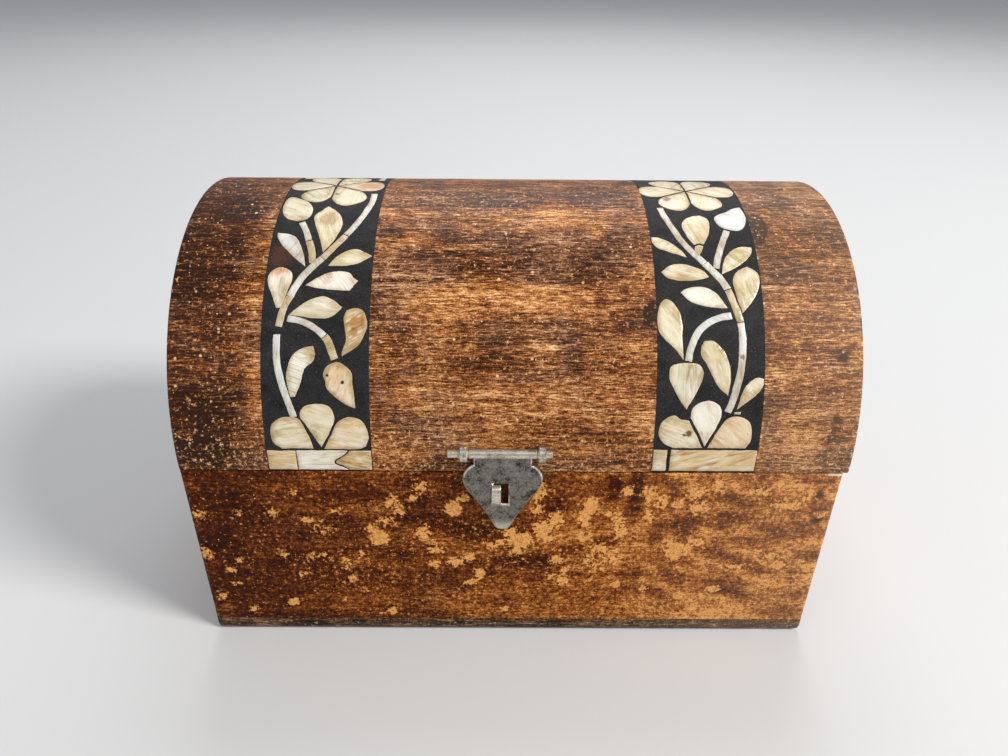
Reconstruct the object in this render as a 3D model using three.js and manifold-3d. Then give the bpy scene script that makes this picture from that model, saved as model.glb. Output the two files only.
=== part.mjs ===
// Domed table chest: a boarded base, a half round lid of glued staves with two inlaid bands,
// a hasp on the front and two butt hinges at the back.
// Millimetres, +X to the right, +Y to the back, +Z up, origin in the middle of the underside.

import * as THREE from "three";
import { mergeVertices } from "three/addons/utils/BufferGeometryUtils.js";
import Module from "manifold-3d";

const wasm = await Module();
wasm.setup();

// Outside of the chest
const baseLength = 200;
const lidOverhang = 1.4;
const chestDepth = 134;
const baseHeight = 67.5;
const seamGap = 0.4;

// Boards
const wallThick = 6;
const floorThick = 5.5;
const lidEndThick = 7;
const cornerRound = 1.5;
const floorRound = 2.2;
const roundSteps = 3;
const roundSides = 10;
const boreSides = 8;
const glueLine = 0.3;
const fitGap = 0.3;

// Staves of the lid: the rim staves' share of the half round in degrees, and facets to a stave
const rimStaveAngle = 22.4;
const rimStaveFacets = 3;
const middleStaves = 5;
const middleStaveFacets = 4;

// Inlaid bands over the lid
const bandWidth = 31.2;
const bandLeftInset = 42.8;
const bandRightInset = 44.4;
const grooveDepth = 2;
const pearlThick = 1;
const stemWidth = 2.2;
const stemStep = 9.5;
const stemLap = 0.4;

// The drawing of the inlay counts in units of its own: so many across a band, and from rim to top
const unitsAcross = 31.2;
const unitsToTop = 105.2;

// Hasp
const haspX = -2.9;
const haspRise = 8.5;
const haspStandOff = 2.6;
const rodRadius = 1.2;
const rodLeft = 16.2;
const rodRight = 14.5;
const knuckleRadius = 1.45;
const plateThick = 1;
const plateLength = 28.8;
const plateNeck = 17.2;
const plateFlare = 24;
const plateTip = 5;
const neckDrop = 4.6;
const flareDrop = 9.4;
const slotWidth = 4.6;
const slotHeight = 7.5;
const slotDrop = 11.6;
const slotSide = -0.5;

// Curve of the plate's side, as shares of its widths and drops
const tipRound = 1.4;
const waistShare = 0.4;
const waistFall = 0.34;
const shoulderShare = 0.95;
const shoulderDropShare = 0.3;
const tailShare = 0.38;
const tailDropShare = 0.57;
const tipShare = 0.84;
const plateCurveSteps = 3;

// Eyes that carry the hasp
const eyeSpacing = 23;
const eyeWidth = 2.3;
const eyeRadius = 2.7;
const shankHeight = 1.8;
const shankDepth = 5;

// Staple in the front board, a strip bent to a low U
const stapleWidth = 2.8;
const stapleHeight = 6.8;
const stapleStrip = 0.9;
const stapleDepth = 4.5;
const stapleSide = -1.4;

// Butt hinges at the back
const hingeInset = 14.3;
const hingeWidth = 18;
const leafThick = 0.8;
const leafDepth = 5;
const barrelRadius = 2;
const hingePinRadius = 1;
const pinOverhang = 0.6;

// Materials
const wood = new THREE.MeshStandardMaterial({ color: 0x5a2a10, roughness: 0.45 });
const edgeWood = new THREE.MeshStandardMaterial({ color: 0x2c1a12, roughness: 0.6 });
const lac = new THREE.MeshStandardMaterial({ color: 0x1c1c1f, roughness: 0.7 });
const pearl = new THREE.MeshStandardMaterial({ color: 0xe6dcc2, roughness: 0.25 });
const steel = new THREE.MeshStandardMaterial({ color: 0x6a6862, roughness: 0.5, metalness: 1 });
const brass = new THREE.MeshStandardMaterial({ color: 0x9a7b45, roughness: 0.45, metalness: 1 });

const chest = new THREE.Group();

// Places that several pieces share
const front = -chestDepth / 2;
const back = chestDepth / 2;
const lidRadius = chestDepth / 2;
const lidRim = baseHeight + seamGap;
const quarterArc = (lidRadius * Math.PI) / 2;
const baseLeft = -baseLength / 2;
const baseRight = baseLength / 2;
const lidLeft = baseLeft;
const lidRight = baseRight + lidOverhang;
const haspY = front - haspStandOff;
const haspZ = baseHeight + seamGap / 2 + haspRise;
const plateBack = haspY + knuckleRadius;
const hingeY = back + barrelRadius + fitGap;
const hingeZ = baseHeight + seamGap / 2;
const reach = 8;
const overrunAngle = 0.1;

// Forms of the inlay's leaves and petals, in the drawing's units and as shares
const leafStations = 4;
const leafBluntness = 0.72;
const petalSteps = 4;
const petalReach = 14.9;
const petalRoot = 0.5;
const petalHalfAngle = 29;
const petalShoulder = 0.36;
const petalRoundness = 3.2;
const fewestStemSteps = 3;
const stemStepsTogether = 3;
const longestMitre = 2.2;

const X = new THREE.Vector3(1, 0, 0);
const Y = new THREE.Vector3(0, 1, 0);
const Z = new THREE.Vector3(0, 0, 1);

// Solids and meshes

function solidOf(geometry) {
  geometry.deleteAttribute("normal");
  geometry.deleteAttribute("uv");
  const merged = mergeVertices(geometry);
  const mesh = new wasm.Mesh({
    numProp: 3,
    vertProperties: merged.attributes.position.array,
    triVerts: new Uint32Array(merged.index.array),
  });
  return new wasm.Manifold(mesh);
}

function geometryOf(solid) {
  const mesh = solid.getMesh();
  const geometry = new THREE.BufferGeometry();
  geometry.setAttribute("position", new THREE.BufferAttribute(mesh.vertProperties, mesh.numProp));
  geometry.setIndex(new THREE.BufferAttribute(mesh.triVerts, 1));
  geometry.computeVertexNormals();
  return geometry;
}

function addPiece(name, solid, material) {
  const mesh = new THREE.Mesh(geometryOf(solid), material);
  mesh.name = name;
  chest.add(mesh);
}

function join(solids) {
  return solids.reduce((whole, solid) => whole.add(solid));
}

function prism(outline, depth, matrix, holes = []) {
  const shape = new THREE.Shape(outline);
  shape.holes = holes.map((hole) => new THREE.Path(hole));
  const geometry = new THREE.ExtrudeGeometry(shape, { depth, bevelEnabled: false });
  return solidOf(geometry.applyMatrix4(matrix));
}

// An outline of [y, z] points carried along X
function alongX(outline, x0, x1, holes) {
  const matrix = new THREE.Matrix4().makeBasis(Y, Z, X).setPosition(x0, 0, 0);
  return prism(outline, x1 - x0, matrix, holes);
}

// An outline of [x, z] points carried from the rear face to the front face
function towardsFront(outline, rear, depth, holes) {
  const matrix = new THREE.Matrix4().makeBasis(X, Z, Y.clone().negate()).setPosition(0, rear, 0);
  return prism(outline, depth, matrix, holes);
}

// An outline of [x, y] points carried up
function upwards(outline, z0, z1) {
  return prism(outline, z1 - z0, new THREE.Matrix4().setPosition(0, 0, z0));
}

function block(x0, x1, y0, y1, z0, z1) {
  const geometry = new THREE.BoxGeometry(x1 - x0, y1 - y0, z1 - z0);
  return solidOf(geometry.translate((x0 + x1) / 2, (y0 + y1) / 2, (z0 + z1) / 2));
}

function circle(radius, sides, y, z) {
  const points = [];
  for (let i = 0; i < sides; i++) {
    const angle = (2 * Math.PI * (i + 0.5)) / sides;
    points.push(new THREE.Vector2(y + radius * Math.cos(angle), z + radius * Math.sin(angle)));
  }
  return points;
}

// A rectangle whose four corners are rounded by their own radii, from the lower left one round
function roundedRectangle(x0, x1, y0, y1, radii) {
  const corners = [
    [x0, y0, 1, 1, Math.PI],
    [x1, y0, -1, 1, 1.5 * Math.PI],
    [x1, y1, -1, -1, 0],
    [x0, y1, 1, -1, 0.5 * Math.PI],
  ];
  const points = [];
  corners.forEach(([x, y, inX, inY, start], corner) => {
    const radius = radii[corner];
    const steps = radius > 0 ? roundSteps : 0;
    for (let i = 0; i <= steps; i++) {
      const angle = start + (steps ? (i / steps) * (Math.PI / 2) : 0);
      const cx = x + inX * radius;
      const cy = y + inY * radius;
      points.push(new THREE.Vector2(cx + radius * Math.cos(angle), cy + radius * Math.sin(angle)));
    }
  });
  return points;
}

// A point of the lid's half round, the angle counted from the front rim over to the back
function domePoint(radius, angle) {
  return new THREE.Vector2(-radius * Math.cos(angle), lidRim + radius * Math.sin(angle));
}

// Angles of the joints between staves, from rim to rim
function staveJoints() {
  const rim = (rimStaveAngle * Math.PI) / 180;
  const middle = (Math.PI - 2 * rim) / middleStaves;
  const joints = [0];
  for (let i = 0; i <= middleStaves; i++) {
    joints.push(rim + i * middle);
  }
  joints.push(Math.PI);
  return joints;
}

// Angles of the edges between the lid's flat facets
function facetAngles() {
  const joints = staveJoints();
  const angles = [0];
  for (let i = 0; i + 1 < joints.length; i++) {
    const isRim = i === 0 || i + 2 === joints.length;
    const count = isRim ? rimStaveFacets : middleStaveFacets;
    for (let k = 1; k <= count; k++) {
      angles.push(joints[i] + ((joints[i + 1] - joints[i]) * k) / count);
    }
  }
  return angles;
}

function domeAngles(from, to, every = 1) {
  const between = facetAngles().filter((angle, i) => {
    return i % every === 0 && angle > from + 1e-6 && angle < to - 1e-6;
  });
  return [from, ...between, to];
}

// A shell over the half round between two radii and two x. Its hidden inside has every other facet.
function domeShell(inner, outer, x0, x1, overrun = 0) {
  const from = -overrun;
  const to = Math.PI + overrun;
  const outside = domeAngles(from, to).map((angle) => domePoint(outer, angle));
  const inside = domeAngles(from, to, 2).map((angle) => domePoint(inner, angle));
  return alongX([...outside, ...inside.reverse()], x0, x1);
}

// Base

function staplePlace() {
  const x = haspX + slotSide + stapleSide;
  const z = haspZ - slotDrop - slotHeight / 2;
  const halfWidth = stapleWidth / 2;
  const halfHeight = stapleHeight / 2;
  return { x0: x - halfWidth, x1: x + halfWidth, z0: z - halfHeight, z1: z + halfHeight };
}

function stapleSolid(grow) {
  const { x0, x1, z0, z1 } = staplePlace();
  const crown = plateBack + fitGap;
  const legs = [
    [z0, z0 + stapleStrip],
    [z1 - stapleStrip, z1],
  ];
  const solids = legs.map(([low, high]) =>
    block(x0 - grow, x1 + grow, crown, front + stapleDepth + grow, low - grow, high + grow),
  );
  if (grow === 0) {
    solids.push(block(x0, x1, crown, front - fitGap, z0, z1));
  }
  return join(solids);
}

function addBase() {
  const low = floorThick + glueLine;
  const inside = wallThick + glueLine;
  const frontRounds = [cornerRound, cornerRound, 0, 0];
  const backRounds = [0, 0, cornerRound, cornerRound];
  const frontOutline = roundedRectangle(baseLeft, baseRight, front, front + wallThick, frontRounds);
  const backOutline = roundedRectangle(baseLeft, baseRight, back - wallThick, back, backRounds);
  const frontBoard = upwards(frontOutline, low, baseHeight).subtract(stapleSolid(fitGap));
  let backBoard = upwards(backOutline, low, baseHeight);
  hingeCentres().forEach((x) => {
    backBoard = backBoard.subtract(leafMortise(x, baseHeight - leafThick - fitGap, baseHeight + reach));
  });
  addPiece("base_front", frontBoard, wood);
  addPiece("base_back", backBoard, wood);
  const endBoard = (x0, x1) => block(x0, x1, front + inside, back - inside, low, baseHeight);
  addPiece("base_left_end", endBoard(baseLeft, baseLeft + wallThick), wood);
  addPiece("base_right_end", endBoard(baseRight - wallThick, baseRight), wood);
  addPiece("base_bottom", bottomBoard(), edgeWood);
  addPiece("hasp_staple", stapleSolid(0), steel);
}

function bottomBoard() {
  const lowEdges = [floorRound, floorRound, 0, 0];
  const allCorners = [cornerRound, cornerRound, cornerRound, cornerRound];
  const plan = roundedRectangle(baseLeft, baseRight, front, back, allCorners);
  const endView = roundedRectangle(front, back, 0, floorThick, lowEdges);
  const frontView = roundedRectangle(baseLeft, baseRight, 0, floorThick, lowEdges);
  const fromAbove = upwards(plan, 0, floorThick);
  const fromEnd = alongX(endView, baseLeft, baseRight);
  const fromFront = towardsFront(frontView, back, chestDepth);
  return fromAbove.intersect(fromEnd).intersect(fromFront);
}

// Lid

// The lid's inner faces are flat from joint to joint
function innerOutline(radius) {
  return staveJoints().map((angle) => domePoint(radius, angle));
}

// A stave ends half a glue line short of each joint, measured on the face that the radius gives
function staveOutline(from, to) {
  const inner = lidRadius - wallThick;
  const first = (radius) => from + (from > 0 ? glueLine / 2 / radius : 0);
  const last = (radius) => to - (to < Math.PI ? glueLine / 2 / radius : 0);
  const outside = domeAngles(first(lidRadius), last(lidRadius)).map((angle) => domePoint(lidRadius, angle));
  return [...outside, domePoint(inner, last(inner)), domePoint(inner, first(inner))];
}

function addLidBoards() {
  const names = ["front_rim", "front_low", "front_high", "top", "back_high", "back_low", "back_rim"];
  const grooves = bands().map((band) => {
    const x0 = band.x - bandWidth / 2;
    const x1 = band.x + bandWidth / 2;
    return domeShell(lidRadius - grooveDepth, lidRadius + reach, x0, x1, overrunAngle);
  });
  const cuts = [...grooves, ...eyeCentres().map((x) => shankBlock(x, fitGap))];
  hingeCentres().forEach((x) => cuts.push(leafMortise(x, lidRim - reach, lidRim + leafThick + fitGap)));
  const cut = join(cuts);
  const joints = staveJoints();
  for (let i = 0; i + 1 < joints.length; i++) {
    const stave = alongX(staveOutline(joints[i], joints[i + 1]), lidLeft, lidRight);
    addPiece("lid_stave_" + (names[i] ?? i), stave.subtract(cut), wood);
  }
  const endOutline = innerOutline(lidRadius - wallThick - glueLine);
  addPiece("lid_left_end", alongX(endOutline, lidLeft, lidLeft + lidEndThick), wood);
  addPiece("lid_right_end", alongX(endOutline, lidRight - lidEndThick, lidRight), wood);
}

// Inlay. Each band is drawn flat as [across, up] in the drawing's units: across from the middle of
// the band, up from the rim. Leaves run from base to tip, belly is where along them they are widest.

function bands() {
  return [
    {
      name: "left",
      x: lidLeft + bandLeftInset,
      borders: [
        [-15.3, -7, 6.8],
        [-6.6, 15.3, 6.8],
      ],
      halfFlower: [0.3, 8.2],
      flower: [-0.9, 104.6],
      stem: [
        [12.6, 90.6],
        [12.3, 87],
        [10.4, 81.5],
        [6.6, 74.2],
        [-1.2, 64.3],
        [-7.6, 54.8],
        [-10.7, 43.8],
      ],
      lowerStem: [
        [-11, 41.4],
        [-11, 36],
        [-9.2, 26],
        [-6.4, 18.6],
      ],
      sideStems: [
        [
          [-9.2, 47],
          [-3.8, 45.7],
          [1.6, 42],
          [5.4, 35.6],
        ],
        [
          [-1.6, 63.8],
          [-3.3, 69],
          [-5.2, 75],
          [-7.4, 80],
        ],
      ],
      attached: [
        { base: [0.4, 66.4], tip: [-1.2, 88.6], width: 8.8, belly: 0.66 },
        { base: [-3.6, 61.4], tip: [-14.4, 75.4], width: 6, belly: 0.62, bend: -1 },
        { base: [-10.2, 47.8], tip: [-12, 62.9], width: 6.8, belly: 0.7 },
        { base: [0.2, 65.2], tip: [14.6, 66.6], width: 6.2, belly: 0.6, bend: 1.2 },
        { base: [-9, 47.6], tip: [7.6, 49.8], width: 6.4, belly: 0.62, bend: 0.8 },
        { base: [5.2, 36.4], tip: [10.6, 20.4], width: 8.8, belly: 0.42, bend: 0.6 },
        { base: [-7, 79], tip: [-14.2, 94], width: 9.2, belly: 0.4, bend: -0.8 },
      ],
      loose: [
        { base: [-3.9, 56.8], tip: [11.8, 58.2], width: 6.3, belly: 0.6, bend: 0.6 },
        { base: [8.8, 37.4], tip: [11.4, 49.6], width: 6.6, belly: 0.68, bend: -1 },
        { base: [-6.4, 23.8], tip: [0.2, 38.6], width: 5.6, belly: 0.56, bend: 1.4 },
      ],
    },
    {
      name: "right",
      x: lidRight - bandRightInset,
      borders: [
        [-15.4, -11.6, 7.8],
        [-10.2, 15.4, 7.8],
      ],
      halfFlower: [-0.7, 8.4],
      flower: [-0.4, 101.6],
      stem: [
        [-11.1, 88.6],
        [-10.4, 84.8],
        [-8.6, 77.5],
        [-3.2, 66.8],
        [3.5, 58.5],
        [7.8, 48.5],
        [9, 38.5],
        [7.7, 27.7],
        [5.4, 20.4],
      ],
      sideStems: [
        [
          [7.8, 48.4],
          [2.7, 47.5],
          [-2.8, 44],
          [-6.1, 38.6],
          [-6.8, 33.4],
        ],
        [
          [1.6, 60.8],
          [3.2, 66],
          [5.4, 71.4],
          [8.6, 78.4],
        ],
      ],
      attached: [
        { base: [-2.4, 65.8], tip: [1.6, 86.2], width: 8.2, belly: 0.66 },
        { base: [-3, 65.9], tip: [-15.2, 74.2], width: 5.6, belly: 0.62, bend: 0.8 },
        { base: [2.6, 59.6], tip: [-13.8, 62], width: 5.8, belly: 0.58, bend: -0.6 },
        { base: [7.2, 49.4], tip: [-8.6, 55.4], width: 5.4, belly: 0.6, bend: -0.8 },
        { base: [2.2, 60.8], tip: [14.2, 71], width: 4.8, belly: 0.62, bend: 1 },
        { base: [8.2, 47.4], tip: [12.4, 64], width: 7.4, belly: 0.6, bend: -0.8 },
        { base: [-6.9, 35.2], tip: [-12.4, 53], width: 7.4, belly: 0.62, bend: 1 },
        { base: [-6.9, 34.6], tip: [-7.2, 21.6], width: 9, belly: 0.36 },
        { base: [8.4, 77.4], tip: [14.4, 90.4], width: 9, belly: 0.38, bend: 0.8 },
      ],
      loose: [
        { base: [4.6, 24.4], tip: [-1.6, 41.2], width: 7, belly: 0.64, bend: -0.8 },
        { base: [8.8, 20.2], tip: [15.2, 29.2], width: 4.8, belly: 0.6, bend: 0.4 },
      ],
    },
  ];
}

// From the drawing to the lid: x, and the way round the half round from the front rim
function placed(points, band, side) {
  return points.map(({ x, y }) => {
    const across = band.x + (x * bandWidth) / unitsAcross;
    const up = (y * quarterArc) / unitsToTop;
    return new THREE.Vector2(across, side === "front" ? up : 2 * quarterArc - up);
  });
}

function vectors(pairs) {
  return pairs.map((pair) => new THREE.Vector2(...pair));
}

function leafOutline({ base, tip, width, belly, bend = 0 }) {
  const start = new THREE.Vector2(...base);
  const along = new THREE.Vector2(...tip).sub(start);
  const sideways = new THREE.Vector2(-along.y, along.x).normalize();
  const skew = Math.log(0.5) / Math.log(belly);
  const edge = (t, sign) => {
    const half = (width / 2) * Math.sin(Math.PI * t ** skew) ** leafBluntness;
    const shift = sign * half + 4 * bend * t * (1 - t);
    return start.clone().addScaledVector(along, t).addScaledVector(sideways, shift);
  };
  const ts = [];
  for (let i = 1; i < leafStations; i++) {
    ts.push((1 - Math.cos((Math.PI * i) / leafStations)) / 2);
  }
  const right = ts.map((t) => edge(t, -1));
  const left = ts.map((t) => edge(t, 1)).reverse();
  return [start, ...right, start.clone().add(along), ...left];
}

// A petal fills its sixth of a flower, with a broad round end
function petalOutline(centre, degrees) {
  const direction = (degrees * Math.PI) / 180;
  const spread = (petalHalfAngle * Math.PI) / 180;
  const middle = new THREE.Vector2(...centre);
  const at = (radius, angle) => {
    return new THREE.Vector2(radius * Math.cos(angle), radius * Math.sin(angle)).add(middle);
  };
  const points = [at(-petalRoot, direction)];
  for (let i = 0; i <= petalSteps; i++) {
    const share = (2 * i) / petalSteps - 1;
    const radius = petalReach * (1 - petalShoulder * Math.abs(share) ** petalRoundness);
    points.push(at(radius, direction + share * spread));
  }
  return points;
}

function borderOutline([x0, x1, height]) {
  return rectangle(x0, x1, 0, height);
}

// A stem is a ribbon along its placed path, in lengths short enough to lie square to the dome
function stemOutlines(points) {
  const curve = new THREE.SplineCurve(points);
  const steps = Math.max(fewestStemSteps, Math.round(curve.getLength() / stemStep));
  const outlines = [];
  for (let first = 0; first < steps; first += stemStepsTogether) {
    const last = Math.min(steps, first + stemStepsTogether);
    const left = [];
    const right = [];
    for (let i = first; i <= last; i++) {
      const along = curve.getTangentAt(i / steps);
      const shift = (i === first ? -stemLap : 0) + (i === last ? stemLap : 0);
      const middle = curve.getPointAt(i / steps).addScaledVector(along, shift);
      const sideways = new THREE.Vector2(-along.y, along.x).multiplyScalar(stemWidth / 2);
      left.push(middle.clone().add(sideways));
      right.push(middle.clone().sub(sideways));
    }
    outlines.push([...right, ...left.reverse()]);
  }
  return outlines;
}

// An outline moved out all round by a distance, with its sharp points blunted
function grown(outline, distance) {
  const turn = THREE.ShapeUtils.area(outline) > 0 ? 1 : -1;
  return outline.map((point, i) => {
    const before = outline.at(i - 1);
    const after = outline[(i + 1) % outline.length];
    const a = point.clone().sub(before).normalize();
    const b = after.clone().sub(point).normalize();
    const out = new THREE.Vector2(turn * (a.y + b.y), -turn * (a.x + b.x));
    const length = out.length();
    const move = Math.min(longestMitre, 2 / length) * distance;
    return point.clone().addScaledVector(out.divideScalar(length), move);
  });
}

// The outline carried square to the dome, right through the shell. It tapers to a point on the
// dome's axis behind its own middle, so neighbours never run into each other deeper down.
function domePrism(outline) {
  const middle = new THREE.Box2().setFromPoints(outline).getCenter(new THREE.Vector2());
  const angle = middle.y / lidRadius;
  const up = new THREE.Vector3(0, Math.sin(angle), Math.cos(angle));
  const out = new THREE.Vector3(0, -Math.cos(angle), Math.sin(angle));
  const flat = outline.map(({ x, y }) => {
    return new THREE.Vector2(x - middle.x, lidRadius * Math.sin((y - middle.y) / lidRadius));
  });
  const options = { depth: 2 * reach, bevelEnabled: false };
  const geometry = new THREE.ExtrudeGeometry(new THREE.Shape(flat), options);
  const places = geometry.attributes.position;
  for (let i = 0; i < places.count; i++) {
    const radius = lidRadius - reach + places.getZ(i);
    const share = radius / lidRadius;
    places.setXYZ(i, places.getX(i) * share, places.getY(i) * share, radius);
  }
  const matrix = new THREE.Matrix4().makeBasis(X, up, out).setPosition(middle.x, 0, lidRim);
  return solidOf(geometry.applyMatrix4(matrix));
}

function flowerOutlines(centre, directions, band, side) {
  return directions.map((degrees) => placed(petalOutline(centre, degrees), band, side));
}

// The pieces of one half of a band: a name and the outlines that make it. The back has no loose leaves.
function halfBandPieces(band, side) {
  const prefix = "pearl_" + band.name + "_" + side + "_";
  const stem = (path) => stemOutlines(placed(vectors(path), band, side));
  const leaf = (shape) => placed(leafOutline(shape), band, side);
  const petals = flowerOutlines(band.halfFlower, [30, 90, 150], band, side);
  const vine = [...[band.stem, ...band.sideStems].flatMap(stem), ...band.attached.map(leaf)];
  const pieces = [
    { name: prefix + "half_flower", outlines: petals },
    { name: prefix + "vine", outlines: vine },
  ];
  band.borders.forEach((border, i) => {
    const outline = placed(borderOutline(border), band, side);
    pieces.push({ name: prefix + "border_" + (i + 1), outlines: [outline] });
  });
  if (band.lowerStem) {
    pieces.push({ name: prefix + "lower_stem", outlines: stem(band.lowerStem) });
  }
  if (side === "front") {
    band.loose.forEach((shape, i) => {
      pieces.push({ name: prefix + "leaf_" + (i + 1), outlines: [leaf(shape)] });
    });
  }
  return pieces;
}

function flowerPiece(band) {
  const petals = flowerOutlines(band.flower, [0, 60, 120, 180, 240, 300], band, "front");
  return { name: "pearl_" + band.name + "_flower", outlines: petals };
}

function addInlay() {
  bands().forEach((band) => {
    const x0 = band.x - bandWidth / 2 + fitGap;
    const x1 = band.x + bandWidth / 2 - fitGap;
    const pearlInner = lidRadius - pearlThick;
    const skin = domeShell(pearlInner, lidRadius, x0 + fitGap, x1 - fitGap);
    const pocketRoom = domeShell(pearlInner - fitGap, lidRadius + reach, x0, x1, overrunAngle);
    const pieces = [...halfBandPieces(band, "front"), flowerPiece(band), ...halfBandPieces(band, "back")];
    const pockets = [];
    pieces.forEach(({ name, outlines }) => {
      addPiece(name, join(outlines.map(domePrism)).intersect(skin), pearl);
      pockets.push(...outlines.map((outline) => domePrism(grown(outline, fitGap))));
    });
    const ground = domeShell(lidRadius - grooveDepth + fitGap, lidRadius, x0, x1);
    addPiece("inlay_" + band.name + "_ground", ground.subtract(join(pockets).intersect(pocketRoom)), lac);
  });
}

// Hasp and its eyes

function eyeCentres() {
  return [haspX - eyeSpacing / 2, haspX + eyeSpacing / 2];
}

function shankBlock(x, grow) {
  const half = eyeWidth / 2 + grow;
  const start = haspY + rodRadius + 2 * fitGap;
  const high = shankHeight / 2 + grow;
  return block(x - half, x + half, start, front + shankDepth + grow, haspZ - high, haspZ + high);
}

function addEyes() {
  eyeCentres().forEach((x, i) => {
    const half = eyeWidth / 2;
    const ring = alongX(circle(eyeRadius, roundSides, haspY, haspZ), x - half, x + half, [
      circle(rodRadius + fitGap, boreSides, haspY, haspZ),
    ]);
    addPiece("hasp_eye_" + (i ? "right" : "left"), ring.add(shankBlock(x, 0)), steel);
  });
}

function rectangle(x0, x1, y0, y1) {
  return roundedRectangle(x0, x1, y0, y1, [0, 0, 0, 0]);
}

// One side of the plate from the rod down to the tip, as [half width, drop]
function plateSide() {
  const neck = plateNeck / 2;
  const flare = plateFlare / 2;
  const tip = plateTip / 2;
  const tipDrop = plateLength - tipRound;
  const waist = flareDrop + (tipDrop - flareDrop) * waistShare;
  const waistHalf = flare + (tip - flare) * waistFall;
  const curve = new THREE.Path();
  curve.moveTo(neck, 0);
  curve.lineTo(neck, neckDrop);
  const shoulderDrop = neckDrop + (flareDrop - neckDrop) * shoulderDropShare;
  const tailHalf = tip + (waistHalf - tip) * tailShare;
  const tailDrop = waist + (tipDrop - waist) * tailDropShare;
  curve.quadraticCurveTo(flare * shoulderShare, shoulderDrop, flare, flareDrop);
  curve.quadraticCurveTo(flare, (flareDrop + waist) / 2, waistHalf, waist);
  curve.quadraticCurveTo(tailHalf, tailDrop, tip, tipDrop);
  curve.quadraticCurveTo(tip * tipShare, plateLength, 0, plateLength);
  return curve.getPoints(plateCurveSteps);
}

function addHasp() {
  const side = plateSide();
  const right = side.map(({ x, y }) => new THREE.Vector2(haspX + x, haspZ - y));
  const left = side.slice(0, -1).map(({ x, y }) => new THREE.Vector2(haspX - x, haspZ - y));
  const slotX = haspX + slotSide;
  const slotTop = haspZ - slotDrop;
  const slotHalf = slotWidth / 2;
  const slot = rectangle(slotX - slotHalf, slotX + slotHalf, slotTop - slotHeight, slotTop);
  const plate = towardsFront([...right, ...left.reverse()], plateBack, plateThick, [slot]);
  const inside = eyeSpacing / 2 - eyeWidth / 2 - fitGap;
  const knuckle = alongX(circle(knuckleRadius, roundSides, haspY, haspZ), haspX - inside, haspX + inside);
  const rod = alongX(circle(rodRadius, roundSides, haspY, haspZ), haspX - rodLeft, haspX + rodRight);
  addPiece("hasp", join([plate, knuckle, rod]), steel);
}

// Hinges

function hingeCentres() {
  return [baseLeft + hingeInset, baseRight - hingeInset];
}

function leafMortise(x, z0, z1) {
  const half = hingeWidth / 2 + fitGap;
  return block(x - half, x + half, back - leafDepth - fitGap, back + reach, z0, z1);
}

// A leaf with its barrel lengths: a plate in the rim, tongues out to the barrel, and the bore
function hingeLeaf(x, z0, z1, lengths) {
  const plate = block(x - hingeWidth / 2, x + hingeWidth / 2, back - leafDepth, back, z0, z1);
  const parts = lengths.flatMap(([x0, x1]) => [
    block(x0, x1, back - leafDepth, hingeY, z0, z1),
    alongX(circle(barrelRadius, roundSides, hingeY, hingeZ), x0, x1),
  ]);
  const boreOutline = circle(hingePinRadius + fitGap, boreSides, hingeY, hingeZ);
  const bore = alongX(boreOutline, x - hingeWidth, x + hingeWidth);
  return join([plate, ...parts]).subtract(bore);
}

function addHinges() {
  hingeCentres().forEach((x, i) => {
    const name = "hinge_" + (i ? "right" : "left");
    const edge = hingeWidth / 2;
    const middle = hingeWidth / 6;
    const outer = [
      [x - edge, x - middle - fitGap / 2],
      [x + middle + fitGap / 2, x + edge],
    ];
    const inner = [[x - middle + fitGap / 2, x + middle - fitGap / 2]];
    addPiece(name + "_base_leaf", hingeLeaf(x, baseHeight - leafThick, baseHeight, outer), brass);
    addPiece(name + "_lid_leaf", hingeLeaf(x, lidRim, lidRim + leafThick, inner), brass);
    const pinHalf = edge + pinOverhang;
    const pinOutline = circle(hingePinRadius, boreSides, hingeY, hingeZ);
    addPiece(name + "_pin", alongX(pinOutline, x - pinHalf, x + pinHalf), brass);
  });
}

addBase();
addLidBoards();
addInlay();
addEyes();
addHasp();
addHinges();

export default chest;
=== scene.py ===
import json
import math

import bmesh
import bpy
from mathutils import Matrix, Vector, noise


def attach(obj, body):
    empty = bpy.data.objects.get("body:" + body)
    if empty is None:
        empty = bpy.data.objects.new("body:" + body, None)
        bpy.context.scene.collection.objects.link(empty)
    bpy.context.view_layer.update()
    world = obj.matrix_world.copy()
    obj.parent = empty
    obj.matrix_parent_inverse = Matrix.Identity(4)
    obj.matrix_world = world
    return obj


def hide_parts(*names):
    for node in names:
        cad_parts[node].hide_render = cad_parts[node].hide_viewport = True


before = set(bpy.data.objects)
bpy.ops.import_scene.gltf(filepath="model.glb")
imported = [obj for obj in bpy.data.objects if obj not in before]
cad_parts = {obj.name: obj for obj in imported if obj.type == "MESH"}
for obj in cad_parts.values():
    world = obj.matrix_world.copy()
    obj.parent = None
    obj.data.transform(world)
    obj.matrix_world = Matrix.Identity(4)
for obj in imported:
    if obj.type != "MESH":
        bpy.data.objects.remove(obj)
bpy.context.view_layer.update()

# Sizes of the chest in millimetres, +X right, +Y back, +Z up
MM = 0.001
LEFT, RIGHT = -100.0, 100.0
LID_RIGHT = 101.4
FRONT, BACK = -67.0, 67.0
RADIUS = 67.0
BASE_TOP = 67.5
RIM = 67.9
WALL = 6.0
FLOOR = 5.5
LID_END = 7.0
ARC = math.pi * RADIUS

# Staves
RIM_ANGLE = math.radians(22.4)
MIDDLE_STAVES = 5
STAVE_NAMES = ["front_rim", "front_low", "front_high", "top", "back_high", "back_low", "back_rim"]

# Bands
BAND_HALF = 15.6
BAND_X = {"left": -57.2, "right": 57.0}
GROOVE = 2.0
SHELL_THICK = 1.0
SHELL_BEVEL = 0.12
LAC_SUNK, LAC_WAVES = 0.045, 0.025

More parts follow.
